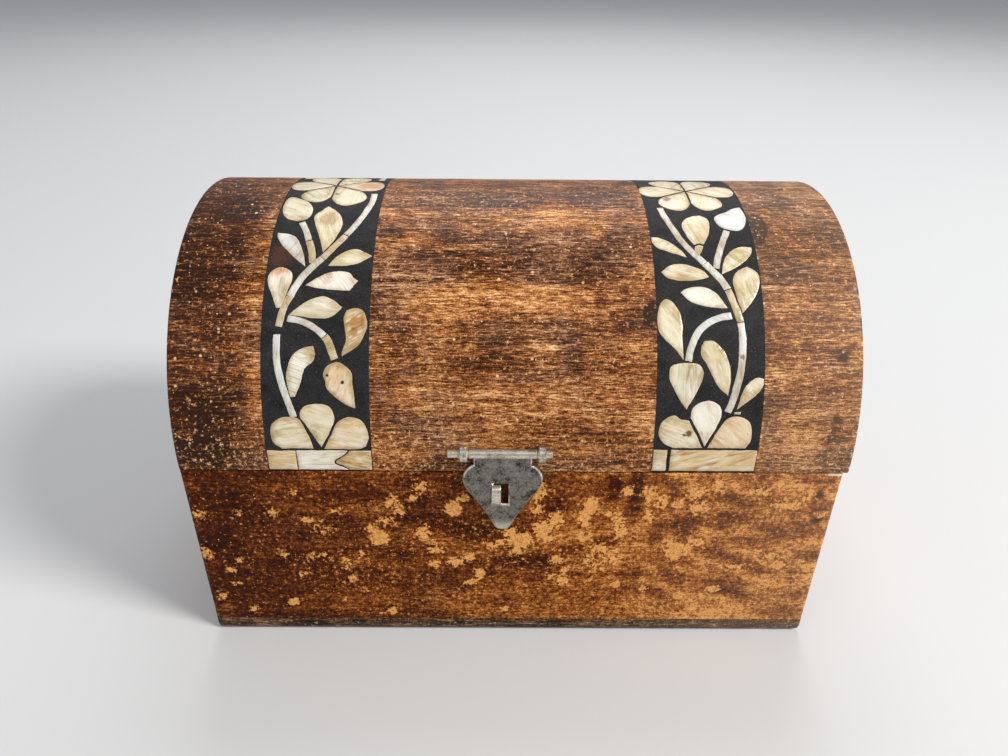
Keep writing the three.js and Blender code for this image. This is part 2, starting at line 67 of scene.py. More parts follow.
# Hasp
HASP_X = -2.9
ROD_Y, ROD_Z = -69.6, 76.2
PLATE_BACK = -68.15
PLATE_THICK = 1.0
PLATE_RIM = 0.45
PLATE_RIM_DROP = 0.4
PLATE_LENGTH = 28.8
TIP_CURL = 0.55
SLOT_SHIFT = -0.5
SLOT_DROP = 11.6
SLOT_HALF = 2.3
SLOT_HIGH = 7.5
KNUCKLE_HALF, KNUCKLE_RADIUS = 10.05, 1.45
ROD_LEFT, ROD_RIGHT, ROD_RADIUS = 16.2, 14.5, 1.24
SHANK_HALF, SHANK_HALF_HIGH, SHANK_START, SUNK = 1.1, 0.9, 1.6, 3
EYE_X, EYE_HALF, EYE_RADIUS, EYE_HOLE = 11.5, 1.15, 2.55, 1.28
STAPLE_X, STAPLE_Z = HASP_X - 1.9, 60.85
STAPLE_HALF, STAPLE_HALF_THICK = 1.4, 0.45
STAPLE_CROWN, STAPLE_REACH, STAPLE_BEND = -70.6, 2.95, 1.6

# Hinges
HINGE_X = [LEFT + 14.3, RIGHT - 14.3]
HINGE_Y, HINGE_Z = 69.3, 67.7
HINGE_HALF = 9.0
LEAF_DEPTH = 5.0
LEAF_THICK = 0.8
BARREL_RADIUS = 1.9
PIN_RADIUS = 1.0
PIN_HOLE = 1.15
FIT = 0.3

# Roundings and worn edges
BOARD_ROUND = 1.5
BOARD_EASE = 0.5
BOTTOM_ROUND = 2.2
LID_ROUND = 1.1
STAVE_EASE = 0.6
STAVE_DROP = 0.07
HAIR = 0.012
WORN = 0.05
JOINT, END_FIT = 0.06, 0.04

# How finely the meshes are cut
FRONT_CELL = 1.25
BOARD_CELL = 1.6
LID_CELL = 1.5
STAVE_CELL = 1.3
SHELL_CELL = 1.3
BOTTOM_CELL = 1.4
PANEL_CELL = 3
LAC_CELL, LAC_COLUMNS = 0.7, 26


# Small helpers

def wave(x, y=0.0, z=0.0):
    return noise.noise(Vector((x, y, z)))


def smooth(value, low, high):
    t = max(0.0, min(1.0, (value - low) / (high - low)))
    return t * t * (3 - 2 * t)


def blob(x, s, place):
    """One soft spot: (x, s, half width, half height, strength)."""
    bx, bs, rx, rs, strength = place
    d = math.hypot((x - bx) / rx, (s - bs) / rs)
    return strength * (1 - smooth(d, 0.35, 1.0)) if d < 1 else 0.0


def blobs(x, s, places):
    return max([0.0] + [blob(x, s, place) for place in places])


def dome(radius, s):
    """The point at a way round the half round, s measured on the outside from the front rim."""
    a = s / RADIUS
    return -radius * math.cos(a), RIM + radius * math.sin(a)


def steps(start, end, size):
    count = max(1, round(abs(end - start) / size))
    return [start + (end - start) * i / count for i in range(count + 1)]


# Meshes

def to_object(name, bm, body, materials, replaces=(), crease=35.0):
    bmesh.ops.remove_doubles(bm, verts=bm.verts[:], dist=1e-7)
    bmesh.ops.dissolve_degenerate(bm, edges=bm.edges[:], dist=1e-7)
    bmesh.ops.recalc_face_normals(bm, faces=bm.faces[:])
    limit = math.radians(crease)
    for face in bm.faces:
        face.smooth = True
    for edge in bm.edges:
        if len(edge.link_faces) == 2 and edge.calc_face_angle(0.0) > limit:
            edge.smooth = False
    mesh = bpy.data.meshes.new(name)
    bm.to_mesh(mesh)
    bm.free()
    for material in materials:
        mesh.materials.append(material)
    obj = bpy.data.objects.new(name, mesh)
    bpy.context.scene.collection.objects.link(obj)
    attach(obj, body)
    if replaces:
        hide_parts(*replaces)
    return obj


def paint_layers(bm):
    return {key: bm.verts.layers.float.new(key) for key in ("flake", "stain", "tone", "pale")}


def slice_along(bm, axis, places):
    """Cut all faces of a mesh by planes across one axis."""
    for place in places:
        at, along = [0, 0, 0], [0, 0, 0]
        at[axis], along[axis] = place, 1
        geom = bm.verts[:] + bm.edges[:] + bm.faces[:]
        bmesh.ops.bisect_plane(bm, geom=geom, plane_co=at, plane_no=along)


def rounding(radius):
    """Steps round a quarter turn: how far in along the one face, how far along the other."""
    turns = [math.radians(a) for a in (30, 60, 90)]
    return [(radius * (1 - math.cos(a)), radius * (1 - math.sin(a))) for a in turns]


def loft(sections, paint, seed, axis="x"):
    """A closed solid through sections along an axis: [(place, ring of [a, b])], rings of equal count.
    The face attribute grain holds the way along the board, the way round it, and a seed."""
    bm = bmesh.new()
    grain = bm.loops.layers.float_vector.new("grain")
    marks = paint_layers(bm)

    def point(place, a, b):
        return Vector((place, a, b)) if axis == "x" else Vector((a, place, b))

    rows = []
    for place, ring in sections:
        row = []
        for a, b in ring:
            at = point(place, a, b)
            vert = bm.verts.new(at * MM)
            for key, value in paint(*at).items():
                vert[marks[key]] = value
            row.append(vert)
        rows.append(row)
    count = len(rows[0])
    middle = sections[len(sections) // 2][1]
    ways = [0.0]
    for j in range(count):
        a, b = middle[j], middle[(j + 1) % count]
        ways.append(ways[-1] + math.hypot(b[0] - a[0], b[1] - a[1]))
    for i in range(len(rows) - 1):
        for j in range(count):
            k = (j + 1) % count
            face = bm.faces.new((rows[i][j], rows[i][k], rows[i + 1][k], rows[i + 1][j]))
            uvs = [
                (sections[i][0], ways[j]),
                (sections[i][0], ways[j + 1]),
                (sections[i + 1][0], ways[j + 1]),
                (sections[i + 1][0], ways[j]),
            ]
            for corner, (u, v) in zip(face.loops, uvs):
                corner[grain] = (u, v, seed)
    for row, (place, ring) in ((rows[0], sections[0]), (rows[-1], sections[-1])):
        face = bm.faces.new(row)
        for corner, (a, b) in zip(face.loops, ring):
            corner[grain] = (a * 16, b, seed + 5 + 0.01 * place)
    return bm


def sheet(rows, top, bottom, mark):
    """A closed curved slab from a grid: rows of (u, v), carried to two faces."""
    bm = bmesh.new()
    grain = bm.verts.layers.float_vector.new("grain")
    worn = bm.verts.layers.float.new("worn")
    faces = []
    for carry in (top, bottom):
        grid = []
        for row in rows:
            line = []
            for u, v in row:
                vert = bm.verts.new(Vector(carry(u, v)) * MM)
                vert[grain] = (u, v, 0.0)
                vert[worn] = mark(u, v)
                line.append(vert)
            grid.append(line)
        faces.append(grid)
        for i in range(len(grid) - 1):
            for j in range(len(grid[0]) - 1):
                bm.faces.new((grid[i][j], grid[i][j + 1], grid[i + 1][j + 1], grid[i + 1][j]))
    a, b = faces
    last = len(rows) - 1
    end = len(rows[0]) - 1
    for i in range(last):
        bm.faces.new((a[i][0], a[i + 1][0], b[i + 1][0], b[i][0]))
        bm.faces.new((a[i][end], b[i][end], b[i + 1][end], a[i + 1][end]))
    for j in range(end):
        bm.faces.new((a[0][j], b[0][j], b[0][j + 1], a[0][j + 1]))
        bm.faces.new((a[last][j], a[last][j + 1], b[last][j + 1], b[last][j]))
    return bm


def shell_mesh():
    bm = bmesh.new()
    bm.verts.layers.float_vector.new("grain")
    bm.verts.layers.float.new("inside")
    return bm


def rim_distance(point, outline):
    """How far a point lies inside an outline, in millimetres."""
    nearest = 99.0
    px, py = point
    for i, (ax, ay) in enumerate(outline):
        bx, by = outline[i - 1]
        dx, dy = bx - ax, by - ay
        length = dx * dx + dy * dy or 1e-9
        t = max(0.0, min(1.0, ((px - ax) * dx + (py - ay) * dy) / length))
        nearest = min(nearest, math.hypot(px - ax - t * dx, py - ay - t * dy))
    return nearest


def add_shell(bm, outline, material):
    """One thin curved plate of shell over the dome from a flat outline of (x, s)."""
    flat = bmesh.new()
    flat.faces.new([flat.verts.new((x, s, 0.0)) for x, s in outline])
    flat.normal_update()
    for axis in (0, 1):
        low = min(point[axis] for point in outline)
        high = max(point[axis] for point in outline)
        slice_along(flat, axis, steps(low, high, SHELL_CELL)[1:-1])
    bmesh.ops.triangulate(flat, faces=flat.faces[:])
    flat.normal_update()
    if sum(face.normal.z for face in flat.faces) < 0:
        bmesh.ops.reverse_faces(flat, faces=flat.faces[:])
        flat.normal_update()
    bmesh.ops.inset_region(
        flat, faces=flat.faces[:], thickness=SHELL_BEVEL, use_even_offset=True, use_boundary=True)
    rim = [e for e in flat.edges if e.is_boundary]
    for vert in {v for e in rim for v in e.verts}:
        vert.co.z = -SHELL_BEVEL * 0.7
    made = bmesh.ops.extrude_edge_only(flat, edges=rim)["geom"]
    for vert in (g for g in made if isinstance(g, bmesh.types.BMVert)):
        vert.co.z = -SHELL_THICK
    bmesh.ops.holes_fill(flat, edges=[e for e in flat.edges if e.is_boundary], sides=0)
    bmesh.ops.triangulate(flat, faces=flat.faces[:])
    grain = bm.verts.layers.float_vector["grain"]
    inside = bm.verts.layers.float["inside"]
    index = {}
    for vert in flat.verts:
        x, s, h = vert.co
        y, z = dome(RADIUS + h, s)
        index[vert] = bm.verts.new(Vector((x, y, z)) * MM)
        index[vert][grain] = (x, s, h)
        index[vert][inside] = rim_distance((x, s), outline) if h > -0.01 else 0.0
    for old in flat.faces:
        new = bm.faces.new([index[v] for v in old.verts])
        new.material_index = material
    flat.free()


def roughened(points, seed, amount=0.16, size=0.45):
    """A hand cut outline: more points, moved a little in and out."""
    dense = []
    for i, (x0, y0) in enumerate(points):
        x1, y1 = points[(i + 1) % len(points)]
        length = math.hypot(x1 - x0, y1 - y0)
        count = max(1, int(length / size))
        for k in range(count):
            t = k / count
            dense.append((x0 + (x1 - x0) * t, y0 + (y1 - y0) * t))
    out = []
    for i, (x, y) in enumerate(dense):
        ax, ay = dense[i - 1]
        bx, by = dense[(i + 1) % len(dense)]
        nx, ny = by - ay, ax - bx
        n = math.hypot(nx, ny) or 1.0
        d = amount * (wave(x * 0.35, y * 0.35, seed) + 0.5 * wave(x * 1.9, y * 1.9, seed + 9))
        out.append((x + nx / n * d, y + ny / n * d))
    return out


# Materials

PAINTED_SHEEN = (0.46, 0.34, 0.24)
PALE_WEAR_AND_HIGHLIGHT = (0.66, 0.5, 0.33)
WOOD_DUST = (0.3, 0.24, 0.18)
LAC_DUST = (0.2, 0.18, 0.15)
WORN_LAC = (0.07, 0.03, 0.016)
SHELL_SHEEN = (0.86, 0.86, 0.82)
SHELL_PIT = (0.12, 0.07, 0.03)
GROWTH_LINE = (0.2, 0.13, 0.07)
RUST = (0.2, 0.09, 0.035)


class Look:
    """A material's nodes, added one call at a time."""

    def __init__(self, name, roughness=0.5, metallic=0.0, **more):
        self.material = bpy.data.materials.new(name)
        self.material.use_nodes = True
        self.tree = self.material.node_tree
        self.shader = self.tree.nodes["Principled BSDF"]
        self.shader.inputs["Roughness"].default_value = roughness
        self.shader.inputs["Metallic"].default_value = metallic
        for key, value in more.items():
            self.shader.inputs[key.replace("_", " ")].default_value = value

    def node(self, kind, **settings):
        made = self.tree.nodes.new(kind)
        for key, value in settings.items():
            setattr(made, key, value)
        return made

    def plug(self, value, socket):
        if isinstance(value, bpy.types.NodeSocket):
            self.tree.links.new(value, socket)
        else:
            socket.default_value = value

    def place(self):
        """The place on the whole chest, in millimetres."""
        made = self.node("ShaderNodeTexCoord")
        return self.scaled(made.outputs["Object"], (1000, 1000, 1000))

    def attribute(self, name, vector=False):
        made = self.node("ShaderNodeAttribute", attribute_name=name)
        return made.outputs["Vector" if vector else "Fac"]

    def scaled(self, vector, scale, shift=(0, 0, 0), turn=(0, 0, 0)):
        made = self.node("ShaderNodeMapping")
        self.plug(vector, made.inputs["Vector"])
        made.inputs["Scale"].default_value = scale
        made.inputs["Location"].default_value = shift
        made.inputs["Rotation"].default_value = turn
        return made.outputs["Vector"]

    def noise(self, vector, scale=1.0, detail=3.0, rough=0.5, distort=0.0, color=False):
        made = self.node("ShaderNodeTexNoise")
        self.plug(vector, made.inputs["Vector"])
        made.inputs["Scale"].default_value = scale
        made.inputs["Detail"].default_value = detail
        made.inputs["Roughness"].default_value = rough
        made.inputs["Distortion"].default_value = distort
        return made.outputs["Color" if color else "Fac"]

    def math(self, operation, a, b=0.0):
        made = self.node("ShaderNodeMath", operation=operation)
        self.plug(a, made.inputs[0])
        self.plug(b, made.inputs[1])
        return made.outputs[0]

    def total(self, *pairs):
        """The sum of value times weight."""
        result = None
        for value, weight in pairs:
            part = self.math("MULTIPLY", value, weight)
            result = part if result is None else self.math("ADD", result, part)
        return result

    def span(self, value, low, high, to_low=0.0, to_high=1.0, smooth_step=False):
        made = self.node("ShaderNodeMapRange")
        made.interpolation_type = "SMOOTHSTEP" if smooth_step else "LINEAR"
        self.plug(value, made.inputs["Value"])
        for key, number in zip(("From Min", "From Max", "To Min", "To Max"), (low, high, to_low, to_high)):
            made.inputs[key].default_value = number
        return made.outputs["Result"]

    def ramp(self, value, stops):
        made = self.node("ShaderNodeValToRGB")
        ramp = made.color_ramp
        ramp.elements[0].position = stops[0][0]
        ramp.elements[0].color = (*stops[0][1], 1)
        ramp.elements[1].position = stops[-1][0]
        ramp.elements[1].color = (*stops[-1][1], 1)
        for position, color in stops[1:-1]:
            ramp.elements.new(position).color = (*color, 1)
        self.plug(value, made.inputs["Fac"])
        return made.outputs["Color"]

    def mix(self, share, a, b, blend="MIX"):
        made = self.node("ShaderNodeMix", data_type="RGBA", blend_type=blend)
        self.plug(share, made.inputs["Factor"])
        for value, socket in ((a, made.inputs[6]), (b, made.inputs[7])):
            self.plug((*value, 1) if isinstance(value, tuple) else value, socket)
        return made.outputs[2]

    def bump(self, height, strength, distance):
        made = self.node("ShaderNodeBump")
        made.inputs["Strength"].default_value = strength
        made.inputs["Distance"].default_value = distance * MM
        self.plug(height, made.inputs["Height"])
        return made.outputs["Normal"]

    def finish(self, color, roughness=None, normal=None):
        self.plug(color, self.shader.inputs["Base Color"])
        if roughness is not None:
            self.plug(roughness, self.shader.inputs["Roughness"])
        if normal is not None:
            self.plug(normal, self.shader.inputs["Normal"])
        return self.material


def varnished_wood(name, warm, cool, flake, spots=0.3, grain_weight=1.0, grit=1.0, blotch=0.3,
                   specular=0.2, dusty=0.0):
    """Old stained and varnished hardwood: grain, mottled and crazed varnish, worn and flaked spots, and a
    painted sheen towards the right end.
    """
    look = Look(name, roughness=0.45, Specular_IOR_Level=specular)
    grain = look.attribute("grain", vector=True)
    place = look.place()
    figure = look.noise(look.scaled(grain, (0.012, 0.13, 3.1)), detail=4, rough=0.6, distort=0.8)
    streaks = look.noise(look.scaled(grain, (0.05, 0.8, 3.1)), detail=4, rough=0.65, distort=0.3)
    dashes = look.noise(look.scaled(grain, (0.3, 2.1, 3.1)), detail=3, rough=0.75)
    mottle = look.noise(look.scaled(place, (0.09, 0.09, 0.09)), detail=6, rough=0.66, distort=0.4)
    patches = look.noise(look.scaled(place, (0.035, 0.05, 0.05), shift=(3, 1, 4)), detail=5, rough=0.62,
                         distort=0.5)
    lumps = look.noise(look.scaled(place, (0.75, 0.75, 0.75)), detail=3, rough=0.6)
    crumbs = look.noise(look.scaled(place, (2.1, 2.1, 2.1)), detail=3, rough=0.8)
    shares = (
        (mottle, 0.7),
        (figure, 0.6),
        (streaks, 1.0 * grain_weight),
        (dashes, 1.9 * grain_weight),
        (crumbs, 1.1 * grit),
        (lumps, blotch),
    )
    middle = 0.5 * sum(share for value, share in shares)
    value = look.total(*shares, (look.attribute("tone"), 1.0), (look.attribute("stain"), -1.0))
    value = look.span(value, middle - 0.42, middle + 0.42)
    cooler = look.span(look.total((patches, 1.0), (look.attribute("tone"), -0.8)), 0.5, 0.66)
    color = look.mix(cooler, look.ramp(value, warm), look.ramp(value, cool))
    flakes = look.attribute("flake")
    edge = look.total((flakes, 1.0), (lumps, 2.2), (crumbs, 1.2))
    glow = look.span(edge, 2.0, 2.26, 0.0, 0.6, smooth_step=True)
    color = look.mix(glow, color, warm[-2][1])
    flaked = look.span(edge, 2.22, 2.34, smooth_step=True)
    fresh = look.mix(look.span(crumbs, 0.36, 0.54), tuple(0.4 * c for c in flake), flake)
    fresh = look.mix(look.span(lumps, 0.6, 0.44, 0.0, 0.3), fresh, tuple(0.5 * c for c in flake))
    color = look.mix(flaked, color, fresh)
    for scale, radius, share in ((0.4, 0.15, 1.0), (0.85, 0.17, 0.8)):
        cell = look.node("ShaderNodeTexVoronoi")
        look.plug(look.scaled(place, (scale, scale, scale)), cell.inputs["Vector"])
        cell.inputs["Scale"].default_value = 1.0
        ragged = look.math("ADD", cell.outputs["Distance"], look.math("MULTIPLY", crumbs, 0.35))
        near = look.span(ragged, radius + 0.23, radius + 0.13)
        parts = look.node("ShaderNodeSeparateColor")
        look.plug(cell.outputs["Color"], parts.inputs[0])
        wanted = look.math("MULTIPLY", look.math("ADD", flakes, spots), share)
        chosen = look.math("LESS_THAN", parts.outputs[0], wanted)
        faint = look.math("ADD", look.math("MULTIPLY", parts.outputs[1], 0.7), 0.3)
        strength = look.math("MULTIPLY", look.math("MULTIPLY", near, chosen), faint)
        color = look.mix(strength, color, tuple(min(1.0, 1.1 * c + 0.03) for c in flake))
    # A painted sheen: a thin pale veil towards the right end, where the light falls
    apart = look.node("ShaderNodeSeparateXYZ")
    look.plug(place, apart.inputs[0])
    painted_sheen = look.span(apart.outputs["X"], 30, 100, 0.0, 0.15)
    color = look.mix(painted_sheen, color, PAINTED_SHEEN)
    # Pale wear on the edges, and a painted highlight at the top right corner of the base
    pale = look.span(look.total((look.attribute("pale"), 1.0), (crumbs, 0.7), (lumps, 0.5)), 0.95, 1.2)
    color = look.mix(pale, color, PALE_WEAR_AND_HIGHLIGHT)
    if dusty:
        dust = look.span(look.total((crumbs, 0.6), (mottle, 0.5)), 0.55, 0.75, 0.0, dusty)
        color = look.mix(dust, color, WOOD_DUST)
    rough = look.math("ADD", look.span(mottle, 0.3, 0.7, 0.34, 0.52), look.math("MULTIPLY", flaked, 0.2))
    height = look.total((dashes, 0.5), (crumbs, 0.5), (flaked, -0.4))
    return look.finish(color, rough, look.bump(height, 0.4, 0.2))


def lac_ground():
    """Matt near-black filler with brush marks, dust and a worn brown spot."""
    look = Look("lac_ground", roughness=0.6, Specular_IOR_Level=0.16)
    place = look.place()
    fine = look.noise(look.scaled(place, (1.4, 2.6, 2.6)), detail=4, rough=0.7)
    broad = look.noise(look.scaled(place, (0.2, 0.2, 0.2)), detail=4, rough=0.6)
    shade = look.total((fine, 0.55), (broad, 0.5))
    tones = [(0.0, (0.004, 0.004, 0.005)), (1.0, (0.026, 0.025, 0.026))]
    color = look.ramp(look.span(shade, 0.36, 0.66), tones)
    dust = look.span(look.noise(look.scaled(place, (3.4, 3.4, 3.4)), detail=2), 0.64, 0.74)
    color = look.mix(look.math("MULTIPLY", dust, 0.6), color, LAC_DUST)
    worn = look.attribute("worn")
    bare = look.span(look.total((worn, 1.0), (fine, 1.6), (broad, 1.2)), 1.6, 2.3)
    color = look.mix(bare, color, WORN_LAC)
    height = look.total((fine, 0.6), (broad, 1.5))
    return look.finish(color, look.span(fine, 0.3, 0.7, 0.5, 0.75), look.bump(height, 0.4, 0.2))


def nacre(name, base, second, rim=(0.4, 0.25, 0.1), rim_share=0.5, stain=(0.3, 0.13, 0.035),
          stain_share=0.0, angle=0.0, stripes=0.5, seed=0.0, lines=0.1, spots=()):
    """Mother of pearl: soft bands that shift between two tones, painted iridescent tints and sheen, fine
    growth lines, amber rims, stains.
    """
    look = Look(name, roughness=0.3, Specular_IOR_Level=0.4, Coat_Weight=0.15, Coat_Roughness=0.15)
    flat = look.attribute("grain", vector=True)
    turned = look.scaled(flat, (1, 1, 1), shift=(seed * 3.7, seed * 5.3, seed),
                         turn=(0, 0, math.radians(angle)))
    bands = look.noise(look.scaled(turned, (0.07, 0.34, 0.3)), detail=4, rough=0.55, distort=1.6)
    fine = look.noise(look.scaled(turned, (0.3, 2.0, 0.3)), detail=3, rough=0.6, distort=0.6)
    cloud = look.noise(look.scaled(turned, (0.12, 0.12, 0.3)), detail=4, rough=0.6)
    share = look.total((bands, stripes), (cloud, 1.0 - stripes), (fine, 0.16))
    pale = tuple(min(1.0, 0.24 + 0.8 * c) for c in base)
    color = look.ramp(look.span(share, 0.43, 0.7), [(0.0, second), (0.42, base), (1.0, pale)])
    # Painted light: faint colour tints stand in for the shell's iridescence, and pale gleaming patches are
    # a painted sheen
    tints = look.noise(look.scaled(turned, (0.16, 0.5, 0.3), shift=(9, 4, 2)), detail=2, color=True)
    color = look.mix(0.16, color, tints, "OVERLAY")
    gleam = look.noise(look.scaled(turned, (0.1, 0.45, 0.3), shift=(4, 7, 1)), detail=3, distort=1.2)
    sheen = look.span(gleam, 0.56, 0.7)
    color = look.mix(look.math("MULTIPLY", sheen, 0.5), color, SHELL_SHEEN)
    inside = look.total((look.attribute("inside"), 1.0), (cloud, 5.0), (fine, 1.5))
    color = look.mix(look.span(inside, 3.2, 5.0, rim_share, 0.0, smooth_step=True), color, rim)
    rings = look.noise(look.scaled(turned, (0.12, 4.2, 0.3)), detail=2, rough=0.6, distort=0.8)
    growth = look.span(rings, 0.36, 0.46)
    between = look.math("MULTIPLY", look.math("SUBTRACT", 1.0, growth), lines)
    color = look.mix(between, color, GROWTH_LINE)
    if stain_share:
        patches = look.noise(look.scaled(turned, (0.18, 0.22, 0.3), shift=(2, 8, 5)), detail=6, rough=0.65,
                             distort=0.7)
        limit = 0.72 - 0.34 * stain_share
        color = look.mix(look.span(patches, limit, limit + 0.14, 0.0, 0.85), color, stain)
    for x, s, radius, share in spots:
        gap = look.node("ShaderNodeVectorMath", operation="DISTANCE")
        look.plug(flat, gap.inputs[0])
        gap.inputs[1].default_value = (x, s, 0)
        ragged = look.total((gap.outputs["Value"], 1.0), (fine, 1.6 * radius), (cloud, 1.2 * radius))
        near = look.span(ragged, 2.75 * radius, 1.95 * radius, 0.0, share, smooth_step=True)
        color = look.mix(near, color, stain, "MULTIPLY")
    pit = look.span(look.noise(look.scaled(turned, (1.1, 1.1, 0.3)), detail=2), 0.735, 0.77)
    color = look.mix(look.math("MULTIPLY", pit, 0.6), color, SHELL_PIT)
    height = look.total((bands, 0.9), (fine, 0.4), (growth, 0.2))
    return look.finish(color, look.span(bands, 0.3, 0.7, 0.22, 0.4), look.bump(height, 0.3, 0.25))


def metal(name, dark, light, roughness=0.42, rust=0.0, tip=None, dents=0.5):
    """Pitted old metal with scratches and dark crust, and a painted highlight below a given height near the
    tip.
    """
    look = Look(name, roughness=roughness, metallic=1.0)
    place = look.place()
    pits = look.noise(look.scaled(place, (1.8, 1.8, 1.8)), detail=5, rough=0.78)
    cloud = look.noise(look.scaled(place, (0.3, 0.3, 0.3)), detail=5, rough=0.65)
    scratches = look.noise(look.scaled(place, (0.5, 0.5, 6.0), turn=(0.3, 0.2, 0.7)), detail=3, rough=0.6)
    color = look.ramp(look.total((pits, 0.6), (cloud, 0.4)), [(0.38, dark), (0.6, light)])
    color = look.mix(look.span(scratches, 0.6, 0.7, 0.0, 0.5), color, tuple(min(1, 1.5 * c) for c in light))
    crust = look.span(look.total((pits, 0.5), (cloud, 0.5)), 0.47, 0.4, 0.0, 0.8)
    color = look.mix(crust, color, tuple(0.4 * c for c in dark))
    if rust:
        color = look.mix(look.span(cloud, 0.58, 0.7, 0.0, rust), color, RUST)
    # A painted highlight: lighter below a height near the tip, where the tip catches the light
    if tip:
        apart = look.node("ShaderNodeSeparateXYZ")
        look.plug(place, apart.inputs[0])
        height = look.total((apart.outputs["Z"], 1.0), (pits, 9.0))
        worn = look.span(height, tip + 4.6, tip + 2.6, 0.0, 0.85)
        color = look.mix(worn, color, tuple(min(1, 2.2 * c) for c in light))
    rough = look.span(pits, 0.35, 0.65, roughness + 0.16, roughness - 0.12)
    return look.finish(color, rough, look.bump(look.total((pits, 1.0), (cloud, 0.8)), dents, 0.15))


LID_WARM = [
    (0.0, (0.028, 0.008, 0.003)), (0.28, (0.115, 0.032, 0.007)), (0.5, (0.3, 0.1, 0.026)),
    (0.75, (0.58, 0.265, 0.085)), (1.0, (0.87, 0.54, 0.26)),
]
LID_COOL = [
    (0.0, (0.02, 0.008, 0.004)), (0.28, (0.085, 0.031, 0.014)), (0.5, (0.21, 0.084, 0.036)),
    (0.75, (0.44, 0.225, 0.11)), (1.0, (0.76, 0.5, 0.29)),
]
BASE_WARM = [
    (0.0, (0.025, 0.004, 0.001)), (0.3, (0.075, 0.015, 0.002)), (0.54, (0.19, 0.048, 0.007)),
    (0.8, (0.42, 0.145, 0.026)), (1.0, (0.78, 0.37, 0.11)),
]
BASE_COOL = [
    (0.0, (0.014, 0.003, 0.001)), (0.3, (0.04, 0.0075, 0.002)), (0.54, (0.1, 0.023, 0.005)),
    (0.8, (0.27, 0.09, 0.02)), (1.0, (0.66, 0.31, 0.1)),
]
BOTTOM_TONES = [
    (0.0, (0.01, 0.005, 0.003)), (0.35, (0.032, 0.017, 0.009)), (0.6, (0.1, 0.052, 0.026)),
    (0.85, (0.26, 0.14, 0.07)), (1.0, (0.5, 0.34, 0.2)),
]
LID_FLAKE = (0.74, 0.46, 0.23)
BASE_FLAKE = (0.86, 0.4, 0.115)
BOTTOM_FLAKE = (0.5, 0.36, 0.22)
WOOD = {
    "lid": varnished_wood("lid_wood", LID_WARM, LID_COOL, LID_FLAKE, spots=0.1, specular=0.12),
    "base": varnished_wood(
        "base_wood", BASE_WARM, BASE_COOL, BASE_FLAKE, spots=0.34, grain_weight=0.45, grit=1.15, blotch=1.1,
        specular=0.06),
    "bottom": varnished_wood(
        "bottom_wood", BOTTOM_TONES, BOTTOM_TONES, BOTTOM_FLAKE, spots=0.1, grain_weight=0.9,
        specular=0.06, dusty=0.12),
}
LAC = lac_ground()
STEEL = metal("aged_steel", (0.055, 0.05, 0.043), (0.28, 0.26, 0.23), 0.34, tip=50.8)
# Lighter steel for the plate's rims: rubbed edges, made lighter still as a painted highlight
RUBBED_AND_LIT = metal("rubbed_lit_steel", (0.3, 0.27, 0.23), (0.8, 0.76, 0.68), 0.3, dents=0.2)
NICKEL = metal("worn_nickel", (0.36, 0.32, 0.25), (0.82, 0.76, 0.63), 0.36, dents=0.05)
BRASS = metal("aged_brass", (0.14, 0.085, 0.03), (0.42, 0.29, 0.12), 0.4, rust=0.3)
